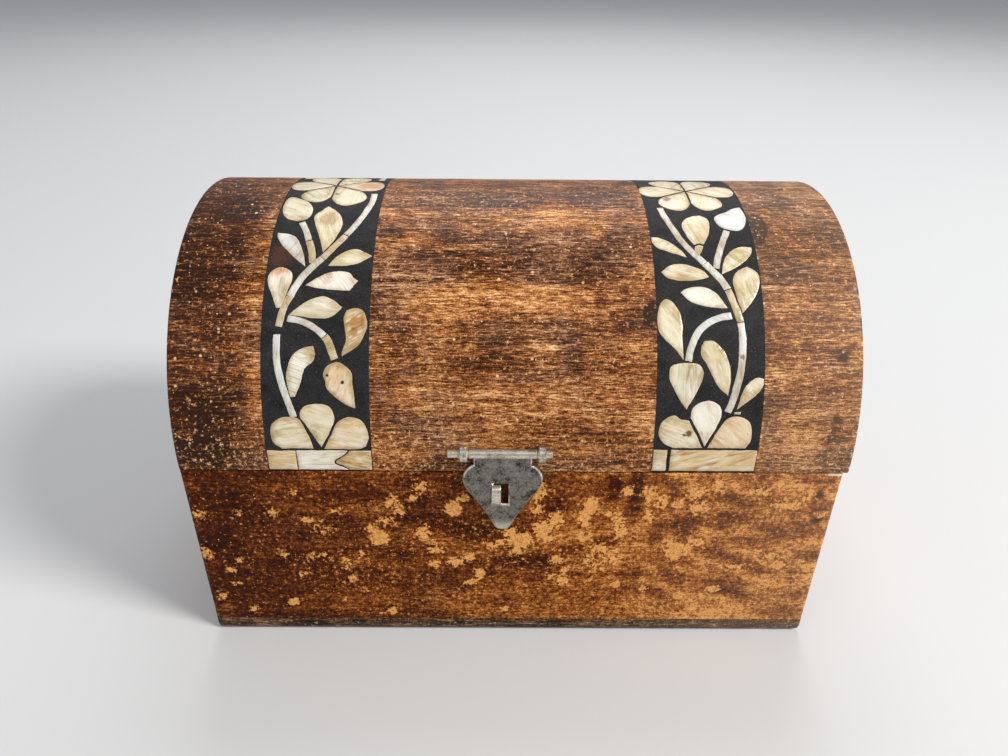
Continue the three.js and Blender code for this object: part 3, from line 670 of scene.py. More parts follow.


# What is painted by place: flaked varnish, stains, tone and pale wear, with painted light and shade among
# them

# Each spot is written as across, down or round from the rim, half width, half height and strength
BASE_FLAKES = [
    (-84.5, 16, 2.2, 2.6, 0.7), (-74, 16, 2.6, 2.4, 0.7), (-64, 19, 3, 2.4, 0.8), (-67, 8, 2.4, 1.8, 0.7),
    (-59, 22, 6, 5, 0.5), (-54, 15, 4, 3, 0.5), (-41.5, 26, 4.4, 5, 1), (-44, 22, 3, 2.6, 0.85),
    (-37, 12, 4, 4, 0.7), (-34.5, 15, 2.8, 3.4, 0.8), (-39, 19, 5, 3.6, 0.5), (-28, 6, 4, 4, 0.6),
    (-28, 24, 4, 4.6, 0.8), (-25, 28, 2.6, 2.4, 0.8), (-30, 10, 2.6, 2.4, 0.7), (-18, 14, 3.8, 4.6, 1),
    (-15, 10, 2.4, 2.4, 0.9), (-12, 6, 2.6, 2.4, 0.8), (-24, 31, 4.2, 2, 0.85), (-25, 37, 2.8, 2.4, 0.8),
    (-18, 36, 3.6, 3, 0.9), (-13.5, 34, 3, 3, 0.8), (-10, 41, 3, 3.6, 0.9), (-13, 45, 3.8, 2, 0.9),
    (-3, 27, 2.6, 2, 0.8), (3, 27, 6, 5, 1), (0, 24, 4, 3.6, 0.85), (2, 31.5, 4, 2, 0.85),
    (8, 7, 4, 6, 0.75), (10, 22, 4.6, 4.6, 1), (14, 18, 3.6, 5, 0.85), (12, 26, 3.8, 2.6, 0.9),
    (8, 14, 3.2, 3.8, 0.7), (-6, 29, 3, 2.4, 0.7), (15, 35, 4, 3, 0.85), (18, 39, 2.8, 2.4, 0.8),
    (17, 44, 3, 3.2, 0.95), (13, 42, 2.6, 2.4, 0.75), (24.5, 13, 4, 5.4, 1), (22.5, 18, 2.8, 4.8, 0.9),
    (30.5, 16, 2, 2.8, 0.8), (33, 18, 2.8, 5, 0.75), (35.5, 7, 2.6, 2.6, 1), (34.5, 23, 3, 5, 0.95),
    (23, 25, 3.8, 3.2, 1), (28, 30, 5, 3.6, 0.75), (32, 34, 7, 6, 0.62), (25, 35, 4, 4, 0.66),
    (28, 38, 5, 3, 0.6), (42, 8, 4, 5, 0.75), (43, 17, 3, 5, 0.7), (46, 11, 4, 4, 0.75),
    (51, 12, 2.8, 2.8, 0.9), (52.5, 31, 4.4, 6, 1), (50, 27, 2.6, 2.6, 0.8), (55.5, 30, 2.8, 4, 0.85),
    (35, 46, 2.4, 2.6, 0.95), (26, 44, 2, 2, 0.8), (44, 48, 3, 2.2, 0.75), (62, 56, 2.6, 2.6, 1),
    (67, 48, 3.4, 2.6, 0.85), (64, 51, 2.6, 1.6, 0.8), (56, 54, 2, 1.4, 0.8), (59, 27, 4.4, 2.6, 0.75),
    (56, 7, 4, 4, 0.85), (58, 13, 5, 4, 0.7), (63, 5, 4, 4, 0.7), (76, 7, 5, 3, 0.7), (85, 12, 8, 4, 0.6),
    (84, 33, 5, 3, 0.62), (79, 31, 3, 2.4, 0.62), (87, 37, 4, 3, 0.8), (73, 38, 8, 3, 0.55),
    (96, 27, 3, 3, 0.8), (96, 16, 2, 2, 0.8), (91, 8, 5, 3, 0.6), (-72.5, 54.5, 2.8, 2.6, 1),
    (-86, 58, 2.6, 2, 0.8), (-39.5, 58.5, 2.8, 2.8, 1), (-43, 59.5, 1.6, 1.2, 0.8),
    (-2, 57.5, 2.2, 2, 0.95), (-19, 51, 1.4, 1.4, 0.8), (-52, 44, 3, 3, 0.6), (-48, 49, 1.6, 1.4, 0.8),
    (-55, 53, 1.6, 1.4, 0.75), (-68, 42, 2, 2, 0.7), (-73, 33, 2.8, 2.2, 0.8), (-64, 34, 3, 2.6, 0.7),
    (-48, 33, 2.6, 3, 0.75), (-53, 37, 3, 4, 0.6), (-60, 33, 2, 2, 0.75), (-98, 33, 4, 4, 0.7),
    (-91, 40, 3, 2.4, 0.75), (-88, 36, 2.2, 1.8, 0.75), (-96, 52, 2.6, 2, 0.8), (-90, 46, 3, 1.6, 0.7),
    (-97, 17, 4, 3, 0.6), (-50, 40, 30, 14, 0.2), (0, 28, 60, 16, 0.2), (60, 20, 44, 30, 0.1),
]
BASE_DARK = [
    (-92, 18, 16, 22, 0.1), (-52, 13, 12, 14, 0.07), (-28, 17, 12, 8, 0.08), (-10, 24, 16, 7, 0.08),
    (14, 12, 7, 6, 0.16), (38, 9, 3.6, 14, 0.2), (31, 6, 4, 8, 0.14), (55, 21, 7, 8, 0.2),
    (66, 19, 8, 7, 0.1), (46, 24, 4, 5, 0.14), (70, 46, 11, 6, 0.14), (86, 22, 12, 5, 0.08),
    (6, 36, 14, 5, 0.1), (-4, 12, 12, 14, 0.06), (-36, 34, 9, 4, 0.08), (40, 40, 6, 6, 0.1),
    (94, 8, 2.2, 1.8, 0.45), (95, 18, 2, 1.6, 0.45), (30, 27, 6, 3, 0.16), (20, 30, 6, 3, 0.12),
]
# Darker spots: stains, and the broad spots at the left end are painted shade
LID_DARK = [
    (-94, 12, 16, 20, 0.16), (-92, 72, 20, 34, 0.1), (-84, 22, 12, 16, 0.07), (93, 12, 2.2, 2, 0.35),
    (94.5, 18, 2, 2, 0.35), (95, 36, 2, 2, 0.35), (97, 8, 8, 12, 0.12), (40, 48.5, 2.6, 4.4, 1),
    (74.6, 80, 4, 6.5, 1), (74, 75, 2.4, 3, 0.8), (0, 3, 110, 3, 0.08), (-6, 36, 20, 9, 0.09),
    (22, 35, 16, 7, 0.07), (20, 14, 30, 8, 0.05), (-10, 66, 32, 7, 0.06), (20, 62, 24, 6, 0.06),
    (30, 44, 10, 4, 0.05), (88, 26, 12, 6, 0.05), (-34, 40, 8, 10, 0.04), (-80, 48, 10, 4, 0.06),
]
# Lighter spots: the wood's own tone, with painted light at the right end and a painted sheen across the
# middle of the dome
LID_LIGHT = [
    (-32, 5, 12, 4, 0.05), (-6, 25.5, 44, 2.4, 0.09), (0, 52, 50, 7, 0.08), (-26, 24, 14, 8, 0.05),
    (4, 82, 50, 8, 0.07), (24, 76, 5, 5, 0.1), (84, 20, 12, 14, 0.05), (-74, 24, 6, 16, 0.06),
    (-78, 54, 8, 12, 0.05), (-28, 76, 8, 6, 0.06), (6, 8, 20, 3, 0.04), (34, 24, 10, 8, 0.05),
    (14, 17, 60, 14, 0.065), (90, 14, 20, 16, 0.085),
]
LAC_WORN = (-68.5, 67, 6.5, 6.5, 0.8)
STAVE_TONES = [0.0, 0.02, -0.02, -0.03, 0.01, -0.01, 0.02]
SPOT_WEIGHT = 1.7
EDGE_WEAR = 1.2
TOP_WEAR_AND_HIGHLIGHT = 1.0
LID_EDGE_WEAR = 1.4
CRACK_X, CRACK_HALF = 43.5, 1.4
CRACK_FROM, CRACK_TO = 38, 61
STREAKS_FROM = 34


def paint_base(x, y, z):
    s = BASE_TOP - z
    flake = stain = tone = pale = 0.0
    if y < FRONT + 1:
        flake = blobs(x, s, BASE_FLAKES)
        # Stains, and painted shade that darkens the left end and the lower left
        stain = SPOT_WEIGHT * blobs(x, s, BASE_DARK) + 0.1 * smooth(x, -50, -80)
        stain += 0.12 * smooth(x, -10, -60) * smooth(s, 30, 48)
        if x > STREAKS_FROM:
            stain += 0.32 * smooth(x, STREAKS_FROM, 50) * wave((x + 1.3 * s) * 0.05, (s - 0.45 * x) * 0.22)
        # The wood's own tone, raised towards the right and the lower right as painted light where the light
        # falls
        tone = 0.08 * smooth(s, 34, 56) + 0.15 * smooth(x, 34, 60) + 0.05 * smooth(x, -20, 20) - 0.05
        tone += blob(x, s, (34, 28, 34, 24, 0.13))
        flake += 0.04 * smooth(x, 36, 56)
        crack = abs(x - CRACK_X - 0.5 * wave(s * 0.2, 8))
        if CRACK_FROM < s < CRACK_TO and crack < CRACK_HALF:
            tone += 0.08 * (1 - crack / CRACK_HALF)
    else:
        flake = 0.08 + 0.7 * wave(x * 0.05, y * 0.05, z * 0.11)
        tone = 0.05 * smooth(z, 30, 8)
    edge = min(abs(x - RIGHT), abs(x - LEFT))
    if y < FRONT + 2.5 and edge < EDGE_WEAR:
        pale = (1 - edge / EDGE_WEAR) * (0.65 if x > 0 else 0.2) * (0.55 + 0.6 * wave(z * 0.16, 2))
    # The top edge is pale from wear, and paler near the right corner as a painted highlight where the
    # rounded edge catches the light
    if y < FRONT + 2 and s < TOP_WEAR_AND_HIGHLIGHT:
        pale = max(pale, 0.14 + 0.36 * wave(x * 0.12, 7) + 0.5 * smooth(x, 90, 99))
    return {"flake": flake, "stain": stain, "tone": tone, "pale": pale}


def paint_bottom(x, y, z):
    pale = 0.0
    if z < 1.6 and y < FRONT + 3:
        pale = 0.35 * smooth(x, 40, 96) + 0.3 * wave(x * 0.11, 5)
    return {"flake": 0.1, "stain": 0.0, "tone": 0.0, "pale": pale}


def lid_painter(number):
    def paint(x, y, z):
        a = math.atan2(z - RIM, -y)
        s = a * RADIUS
        tone = STAVE_TONES[number] + 0.04 * wave(x * 0.03, number * 7.0)
        stain = 0.0
        if a < math.pi / 2 + 0.2:
            # Stains, with painted shade darkening the left end; the lighter spots add painted light and
            # sheen to the tone
            stain = SPOT_WEIGHT * blobs(x, s, LID_DARK) + 0.16 * smooth(x, -72, -86)
            tone += SPOT_WEIGHT * blobs(x, s, LID_LIGHT) - 0.092
        else:
            stain = 0.12 * (0.5 + wave(x * 0.04, s * 0.04, 2))
        edge = min(abs(x - LEFT), abs(x - LID_RIGHT))
        pale = 0.0
        if edge < LID_EDGE_WEAR and z > RIM + 1:
            pale = (1 - edge / LID_EDGE_WEAR) * 0.35 * (0.6 + wave(s * 0.1, 4))
        flake = 0.1 + 0.1 * wave(x * 0.05, s * 0.07, 6) + 0.14 * smooth(s, 24, 4)
        return {"flake": flake, "stain": stain, "tone": tone, "pale": pale}
    return paint


# Base

def end_stations(x0, x1, round_left, round_right, size):
    """Places along a board with its two ends rounded: (place, how far the outside is drawn in)."""
    angles = [math.radians(a) for a in (0, 22, 45, 67, 90)]
    left = [(x0 + round_left * (1 - math.cos(a)), round_left * (1 - math.sin(a))) for a in angles]
    right = [
        (x1 - round_right * (1 - math.cos(a)), round_right * (1 - math.sin(a)))
        for a in reversed(angles)
    ]
    middle = [(x, 0.0) for x in steps(x0 + round_left, x1 - round_right, size)[1:-1]]
    return left + middle + right


def with_cuts(stations, cuts):
    """Two stations at each edge of a cut: (place, drawn in, whether it lies in a cut)."""
    edges = [edge for cut in cuts for edge in cut]
    apart = [(x, d) for x, d in stations if all(abs(x - edge) > 0.3 for edge in edges)]
    out = [(x, d, any(a < x < b for a, b in cuts)) for x, d in apart]
    for a, b in cuts:
        out += [(a, 0.0, False), (a + 1e-4, 0.0, True), (b - 1e-4, 0.0, True), (b, 0.0, False)]
    return sorted(out)


MORTISES = [(x - HINGE_HALF - FIT, x + HINGE_HALF + FIT) for x in HINGE_X]


def board_ring(outer, inner, low, high, inset, mortise=None):
    """A standing board's section as (y, z), outside face first, from the bottom up."""
    out = 1 if outer > inner else -1
    face = outer - out * inset
    ease = BOARD_EASE
    ring = []
    for z in steps(low, high - ease, FRONT_CELL):
        ring.append((face - out * (WORN + WORN * wave(z * 0.1, outer)), z))
    top = high if mortise is None else mortise
    ring += [(face - out * (WORN + away), min(top, high - drop)) for away, drop in rounding(ease)]
    depth = outer - out * (LEAF_DEPTH + FIT)
    ring += [(depth, top), (depth, high), (inner, high), (inner, low)]
    return ring


def add_base():
    low = FLOOR + JOINT
    flat = [(x, d, False) for x, d in end_stations(LEFT, RIGHT, BOARD_ROUND, BOARD_ROUND, FRONT_CELL)]
    sections = [(x, board_ring(FRONT, FRONT + WALL, low, BASE_TOP, d)) for x, d, cut in flat]
    bm = loft(sections, paint_base, 1.0)
    to_object("front_board", bm, "base", [WOOD["base"]], ["base_front"])
    stations = with_cuts(end_stations(LEFT, RIGHT, BOARD_ROUND, BOARD_ROUND, BOARD_CELL), MORTISES)
    depth = BASE_TOP - LEAF_THICK - FIT
    sections = [
        (x, board_ring(BACK, BACK - WALL, low, BASE_TOP, d, depth if cut else None))
        for x, d, cut in stations
    ]
    bm = loft(sections, paint_base, 2.0)
    to_object("back_board", bm, "base", [WOOD["base"]], ["base_back"])
    for name, outer, inner, seed in (("left", LEFT, LEFT + WALL, 3.0), ("right", RIGHT, RIGHT - WALL, 4.0)):
        places = steps(FRONT + WALL + END_FIT, BACK - WALL - END_FIT, BOARD_CELL)
        sections = [(y, board_ring(outer, inner, low, BASE_TOP, 0.0)) for y in places]
        bm = loft(sections, paint_base, seed, axis="y")
        to_object(name + "_end_board", bm, "base", [WOOD["base"]], ["base_" + name + "_end"])
    add_bottom_board()


def add_bottom_board():
    sections = []
    low_round = BOTTOM_ROUND
    bends = rounding(low_round)
    for x, d in end_stations(LEFT, RIGHT, low_round, low_round, BOTTOM_CELL):
        edge = min(x - LEFT, RIGHT - x)
        side = BOARD_ROUND - math.sqrt(max(0.0, BOARD_ROUND ** 2 - max(0.0, BOARD_ROUND - edge) ** 2))
        f, b = FRONT + side, BACK - side
        ring = [(f, FLOOR), (f, FLOOR * 0.6), (f, max(low_round, d))]
        ring += [(f + away, max(d, drop)) for away, drop in bends]
        ring += [(y, d) for y in steps(f + low_round + 2, b - low_round - 2, 6)]
        ring += [(b - away, max(d, drop)) for away, drop in reversed(bends)]
        ring += [(b, max(low_round, d)), (b, FLOOR * 0.6), (b, FLOOR)]
        sections.append((x, ring))
    bm = loft(sections, paint_bottom, 6.0)
    to_object("bottom_board", bm, "base", [WOOD["bottom"]], ["base_bottom"])


# Lid

def stave_joints():
    middle = (math.pi - 2 * RIM_ANGLE) / MIDDLE_STAVES
    return [0.0] + [RIM_ANGLE + i * middle for i in range(MIDDLE_STAVES + 1)] + [math.pi]


def outside(x, s, inset):
    """Radius of the lid's worn outside, never past its nominal radius."""
    return RADIUS - inset - WORN + 0.04 * wave(x * 0.05, s * 0.06, 1.5)


def stave_ring(a0, a1, radius_at, lift=0.0):
    inner = RADIUS - WALL
    s0 = a0 * RADIUS + (HAIR if a0 > 0 else 0)
    s1 = a1 * RADIUS - (HAIR if a1 < math.pi else 0)
    eases = [0.0, 0.12, 0.3, STAVE_EASE]
    places = [s0 + e for e in eases]
    places += steps(s0 + STAVE_EASE, s1 - STAVE_EASE, STAVE_CELL)[1:-1]
    places += [s1 - e for e in reversed(eases)]
    ring = []
    for s in places:
        near = min(s - s0, s1 - s)
        drop = STAVE_DROP * (1 - near / STAVE_EASE) ** 2 if near < STAVE_EASE else 0.0
        y, z = dome(radius_at(s) - drop, s)
        ring.append((y, max(z, RIM + lift) if y > 0 else z))
    if a1 == math.pi:
        depth = BACK - LEAF_DEPTH - FIT
        ring += [(depth, RIM + lift), (depth, RIM)]
    for a in (a1, a0):
        y, z = -inner * math.cos(a), RIM + inner * math.sin(a)
        ring.append((y, z))
    return ring


def add_lid():
    joints = stave_joints()
    grooves = [(x - BAND_HALF, x + BAND_HALF) for x in BAND_X.values()]
    for i, name in enumerate(STAVE_NAMES):
        ends = end_stations(LEFT, LID_RIGHT, LID_ROUND, LID_ROUND, LID_CELL)
        stations = with_cuts(ends, grooves)
        last = i == len(STAVE_NAMES) - 1
        if last:
            base = [(x, d) for x, d, cut in stations]
            both = with_cuts(base, MORTISES)
            stations = [(x, d, any(a < x < b for a, b in grooves)) for x, d, cut in both]
        sections = []
        for x, inset, cut in stations:
            lift = LEAF_THICK + FIT if last and any(a < x < b for a, b in MORTISES) else 0.0

            def radius_at(s, x=x, inset=inset, cut=cut):
                return RADIUS - GROOVE if cut else outside(x, s, inset)
            sections.append((x, stave_ring(joints[i], joints[i + 1], radius_at, lift)))
        bm = loft(sections, lid_painter(i), 10.0 + i)
        to_object("stave_" + name, bm, "lid", [WOOD["lid"]], ["lid_stave_" + name])
    inner = RADIUS - WALL - WORN
    ring = []
    for a0, a1 in zip(joints, joints[1:]):
        y0, z0 = -inner * math.cos(a0), RIM + inner * math.sin(a0)
        y1, z1 = -inner * math.cos(a1), RIM + inner * math.sin(a1)
        ring += [(y0 + (y1 - y0) * t / 6, z0 + (z1 - z0) * t / 6) for t in range(6)]
    ring.append((-inner * math.cos(math.pi), RIM))
    for y in steps(inner, -inner, 4)[1:-1]:
        ring.append((y, RIM))
    for name, x0, x1, seed in (
        ("left", LEFT + WORN, LEFT + LID_END, 20.0),
        ("right", LID_RIGHT - LID_END, LID_RIGHT - WORN, 21.0),
    ):
        bm = end_panel(ring, x0, x1, seed)
        to_object("lid_" + name + "_end_board", bm, "lid", [WOOD["lid"]],
                  ["lid_" + name + "_end"])


def end_panel(ring, x0, x1, seed):
    """A half round board whose grain runs along Y, with faces fine enough to be painted."""
    bm = bmesh.new()
    grain = bm.loops.layers.float_vector.new("grain")
    marks = paint_layers(bm)
    bm.faces.new([bm.verts.new((0, y, z)) for y, z in ring])
    slice_along(bm, 2, steps(RIM, RIM + RADIUS, PANEL_CELL)[1:-1])
    slice_along(bm, 1, steps(FRONT, BACK, PANEL_CELL)[1:-1])
    made = bmesh.ops.extrude_face_region(bm, geom=bm.faces[:])["geom"]
    moved = [g for g in made if isinstance(g, bmesh.types.BMVert)]
    for vert in bm.verts:
        vert.co.x = x0
    for vert in moved:
        vert.co.x = x1
    for face in bm.faces:
        for corner in face.loops:
            x, y, z = corner.vert.co
            corner[grain] = (y, z + 0.5 * x, seed)
    for vert in bm.verts:
        x, y, z = vert.co
        vert[marks["flake"]] = 0.14 + 0.14 * wave(y * 0.05, z * 0.07, seed)
        vert[marks["tone"]] = 0.04 * wave(y * 0.03, z * 0.1, seed)
        dark = 0.1 * max(0.0, wave(y * 0.04, z * 0.05, seed + 2))
        vert[marks["stain"]] = 0.15 * smooth(RIM + 4 - z, 0, 4) + dark
        vert.co = vert.co * MM
    return bm


# Inlay drawing, in millimetres on the unrolled lid: across from the band's middle, up from the rim

def cut(points, corners=()):
    """A closed outline through points, smooth but at the corners, which are named by their number."""
    marks = sorted(corners) or [0]
    out = []
    for i, start in enumerate(marks):
        end = marks[(i + 1) % len(marks)]
        if end <= start:
            end += len(points)
        run = [points[k % len(points)] for k in range(start, end + 1)]
        out += [tuple(p) for p in spline(run, 6)[:-1]]
    return out


def petal_outline(centre, degrees, reach=14.9, spread=28.6, fall=0.36, power=3.2, root=0.6, count=16):
    direction = math.radians(degrees)
    cx, cy = centre
    points = [(cx + root * math.cos(direction), cy + root * math.sin(direction))]
    for i in range(count + 1):
        share = 2 * i / count - 1
        radius = reach * (1 - fall * abs(share) ** power)
        angle = direction + share * math.radians(spread)
        points.append((cx + radius * math.cos(angle), cy + radius * math.sin(angle)))
    return points


def spline(points, parts=12):
    """Points along a smooth curve through a path."""
    path = [Vector(p) for p in points]
    path = [2 * path[0] - path[1]] + path + [2 * path[-1] - path[-2]]
    dense = []
    for i in range(1, len(path) - 2):
        p0, p1, p2, p3 = path[i - 1:i + 3]
        for k in range(parts):
            t = k / parts
            dense.append(0.5 * ((2 * p1) + (p2 - p0) * t + (2 * p0 - 5 * p1 + 4 * p2 - p3) * t * t
                                + (3 * p1 - p0 - 3 * p2 + p3) * t ** 3))
    dense.append(path[-2])
    return dense


def ribbon(points, width, start=0.0, end=1.0):
    """The outline of a strip along a share of a path, its ends cut square."""
    dense = spline(points)
    ways = [0.0]
    for a, b in zip(dense, dense[1:]):
        ways.append(ways[-1] + (b - a).length)
    left, right = [], []
    for way in steps(start * ways[-1], end * ways[-1], 0.6):
        i = max(k for k in range(len(ways) - 1) if ways[k] <= way + 1e-9)
        along = dense[i + 1] - dense[i]
        p = dense[i] + along * ((way - ways[i]) / (ways[i + 1] - ways[i]))
        ahead = (dense[min(i + 3, len(dense) - 1)] - dense[max(i - 2, 0)]).normalized()
        side = Vector((-ahead.y, ahead.x)) * width / 2
        left.append(tuple(p + side))
        right.append(tuple(p - side))
    return right + left[::-1]


def box_outline(x0, x1, y0, y1):
    return [(x0, y0), (x1, y0), (x1, y1), (x0, y1)]


CREAM = dict(base=(0.64, 0.54, 0.34), second=(0.46, 0.33, 0.15))
WHITE = dict(base=(0.74, 0.68, 0.54), second=(0.5, 0.42, 0.28))
SILVER = dict(base=(0.58, 0.59, 0.54), second=(0.36, 0.34, 0.27))
GOLD = dict(base=(0.6, 0.43, 0.2), second=(0.36, 0.19, 0.06))
AMBER = dict(base=(0.66, 0.5, 0.3), second=(0.5, 0.28, 0.11))
OLIVE = dict(base=(0.57, 0.49, 0.31), second=(0.36, 0.28, 0.13))

NACRES = {}


def shell_look(tone, **more):
    key = json.dumps([tone, more], sort_keys=True)
    if key not in NACRES:
        NACRES[key] = nacre("nacre_" + str(len(NACRES) + 1), **tone, **more)
    return NACRES[key]


def leaf(points, corners, tone, **more):
    """A piece of shell with a smooth outline and sharp corners, and how it looks."""
    return cut(points, corners), (tone, more)


def strip(path, width, start, end, tone, **more):
    """A piece of shell along a share of a path, and how it looks."""
    return ribbon(path, width, start, end), (tone, more)


def block(x0, x1, y0, y1, tone, **more):
    """A four-sided piece of shell, and how it looks."""
    return box_outline(x0, x1, y0, y1), (tone, more)


def left_pieces():
    """The left band's pieces of shell on one side: name, outlines and how each looks."""
    stem = [(12.5, 97.5), (12.5, 91), (11.3, 86), (9.4, 80.2), (6.3, 74.3), (2.95, 69.3), (0.6, 66),
            (-2.6, 62.4), (-5.8, 57.7), (-7.7, 53.5), (-9.4, 49.7), (-10.6, 44)]
    side_stem = [(-8.2, 46.5), (-4.1, 45.6), (0, 43.6), (3.2, 40.6), (4.6, 37.6), (5.7, 34.6)]
    bud_stem = [(-2.2, 64.2), (-2.9, 67.7), (-4.1, 71.8), (-5.8, 76.4), (-7.7, 80.4)]
    low_stem = [(-11, 41.8), (-11, 37.6), (-10.7, 32.6), (-9.6, 27.6), (-8.3, 23.5), (-6.5, 17.6)]
    return {
        "border_1": [
            block(-15.4, -6.85, 0.3, 7, GOLD, angle=4, seed=1, stripes=0.7, rim_share=0.2),
        ],
        "border_2": [
            leaf([(-6.7, 0.3), (8.4, 0.3), (6.6, 1.4), (4.6, 2.3), (4.4, 3.6), (6.3, 4.9), (8, 6.2),
                  (8.6, 7.1), (-6.7, 7.1)],
                 (0, 1, 7, 8), WHITE, angle=-10, seed=2, stripes=0.85, lines=0.3, rim_share=0.3),
            leaf([(8.7, 0.3), (15.4, 0.3), (15.4, 7.1), (8.9, 7.1), (8.3, 6.1), (6.6, 4.7), (4.8, 3.5),
                  (5, 2.5), (7, 1.6)],
                 (0, 1, 2, 3), GOLD, angle=12, seed=28, stripes=0.9, lines=0.6, stain_share=0.3),
        ],
        "half_flower": [
            leaf([(1.5, 7.5), (4.2, 12.7), (6.3, 16.4), (9.6, 17.8), (13.4, 16.4), (15, 11.8), (14, 8.4),
                  (10.9, 7.5)],
                 (0, 6), AMBER, angle=16, seed=3, stripes=0.75, rim_share=0.6),
            leaf([(0.9, 8), (-2.9, 14.7), (-4.8, 17.7), (-3.7, 20.6), (0, 21.8), (3.8, 21), (5.3, 17.7),
                  (4.2, 14)],
                 (0,), CREAM, angle=24, seed=4, stripes=0.6, rim_share=0.4),
            leaf([(-13.7, 12.5), (-12.9, 15.8), (-9.4, 17.7), (-5.4, 17.3), (-3.9, 15.2), (-2.1, 10.6),
                  (-1.5, 7.7), (-10.8, 7.6), (-13.2, 9.6)],
                 (4, 6, 7), CREAM, angle=-8, seed=5, stripes=0.75, rim_share=0.75),
        ],
        "lower_stem": [
            strip(low_stem, 2.1, 0.0, 1.0, SILVER, angle=90, seed=6, rim_share=0.25),
        ],
        "vine": [
            strip(stem, 2.1, 0.0, 0.4, SILVER, angle=60, seed=7, stain_share=0.15),
            strip(stem, 2.2, 0.4015, 0.58, OLIVE, angle=20, seed=8, stain_share=0.3),
            strip(stem, 2.3, 0.5815, 0.84, SILVER, angle=70, seed=26),
            strip(stem, 2.1, 0.8415, 1.0, OLIVE, angle=70, seed=27, stain_share=0.2),
            strip(side_stem, 2.0, 0.0, 0.62, SILVER, angle=120, seed=9),
            strip(side_stem, 2.3, 0.626, 1.0, OLIVE, angle=150, seed=25),
            strip(bud_stem, 2.0, 0.5, 1.0, SILVER, angle=80, seed=10),
            strip(bud_stem, 2.2, 0.0, 0.492, OLIVE, angle=80, seed=24, stain_share=0.2),
            leaf([(0.4, 67.8), (3.4, 73.1), (4.9, 79.3), (3.4, 84.3), (-0.8, 88.9), (-3, 85.8),
                  (-4.4, 83.1), (-3.5, 79.3), (-1.5, 73.9)],
                 (0, 4), CREAM, angle=80, seed=11, spots=[(-57.2, 82, 3.2, 0.8)], stain=(0.6, 0.5, 0.28)),
            leaf([(-4.1, 62.6), (-5.1, 66.8), (-7.5, 72.7), (-10.4, 75), (-14.4, 75.8), (-13.8, 73.3),
                  (-11.6, 70), (-8.3, 66.3)],
                 (0, 4), SILVER, angle=120, seed=12),
            leaf([(-11.6, 49.6), (-13.3, 53.9), (-14.8, 57.7), (-14.3, 61), (-11.6, 62.7), (-8.5, 61.4),
                  (-7.6, 58.5), (-9.1, 53.5), (-10.3, 49.6)],
                 (0, 8), WHITE, angle=90, seed=13, spots=[(-70, 61.6, 2.2, 0.8), (-67.5, 62.2, 1.6, 0.7)],
                 stain=(0.75, 0.42, 0.14)),
            leaf([(2.3, 63.1), (4.2, 66.2), (7.1, 68.5), (10.2, 69.3), (12.7, 68.2), (15.1, 66.8),
                  (12.1, 64.5), (8.4, 63.3)],
                 (0, 5), CREAM, angle=10, seed=14, stripes=0.8),
            leaf([(-8, 47.4), (-5, 50.2), (-1.6, 52.4), (1.9, 53.3), (5, 52), (7.6, 49.8), (5.9, 48.1),
                  (3.2, 46.6), (-1, 46.6), (-5, 47.1)],
                 (0, 5), OLIVE, angle=4, seed=15, rim_share=0.2),
            leaf([(6.3, 33.9), (8.4, 33.1), (10.4, 31), (10.9, 27.7), (11.3, 23.9), (11.5, 20.3),
                  (10, 20.8), (7.9, 22), (5.7, 23.7), (3.4, 26), (2.9, 28.3), (2.3, 30.2), (3.5, 32.7)],
                 (5, 6), AMBER, angle=110, seed=16, rim_share=0.85,
                 spots=[(-49.3, 28, 0.55, 1), (-53.6, 30, 0.4, 1)], stain=(0.03, 0.015, 0.006)),
            leaf([(-9.1, 80.9), (-6.2, 82), (-5.2, 86), (-7, 90.6), (-10.4, 93.3), (-14, 94.2),
                  (-15, 90.2), (-14.5, 85.2), (-12.5, 82)],
                 (), OLIVE, angle=30, seed=17, rim_share=0.4),
        ],
        "leaf_1": [
            leaf([(-3.7, 56.7), (-0.8, 58.9), (2.7, 60.8), (6.3, 61.4), (9, 60.9), (10.2, 59.3),
                  (11.8, 58.3), (10.5, 56.7), (9.4, 55), (6.3, 55.1), (3.4, 55.3), (0, 55.8)],
                 (0, 6, 8), WHITE, angle=55, seed=18, lines=0.3,
                 spots=[(-54.6, 58.2, 1.6, 0.6), (-54, 60.2, 1.2, 0.6)], stain=(0.75, 0.58, 0.42)),
        ],
        "leaf_2": [
            leaf([(7.7, 35.3), (7.7, 36.8), (8.8, 39.8), (8.4, 43.5), (8, 46.4), (8.7, 49), (11.3, 49.8),
                  (13.8, 48.7), (14.9, 45.2), (14.2, 41.8), (12.1, 38.5)],
                 (0, 5), AMBER, angle=-30, seed=19, lines=0.5, rim_share=0.8,
                 spots=[(-45.6, 45.4, 2.2, 0.9), (-46.4, 42.6, 1.3, 0.9)], stain=(0.62, 0.38, 0.15)),
        ],
        "leaf_3": [
            leaf([(-7.2, 23.7), (-5.8, 23.7), (-4.1, 27.7), (-2.9, 31.8), (-0.4, 34.1), (0.2, 36.2),
                  (-0.4, 38.5), (-2.9, 38.1), (-5.8, 36.4), (-7.5, 33.5), (-8.3, 28.9)],
                 (0, 1, 5, 6), WHITE, angle=20, seed=20, lines=0.6, spots=[(-58.4, 36.8, 2.4, 0.8)],
                 stain=(0.7, 0.55, 0.34)),
        ],
    }


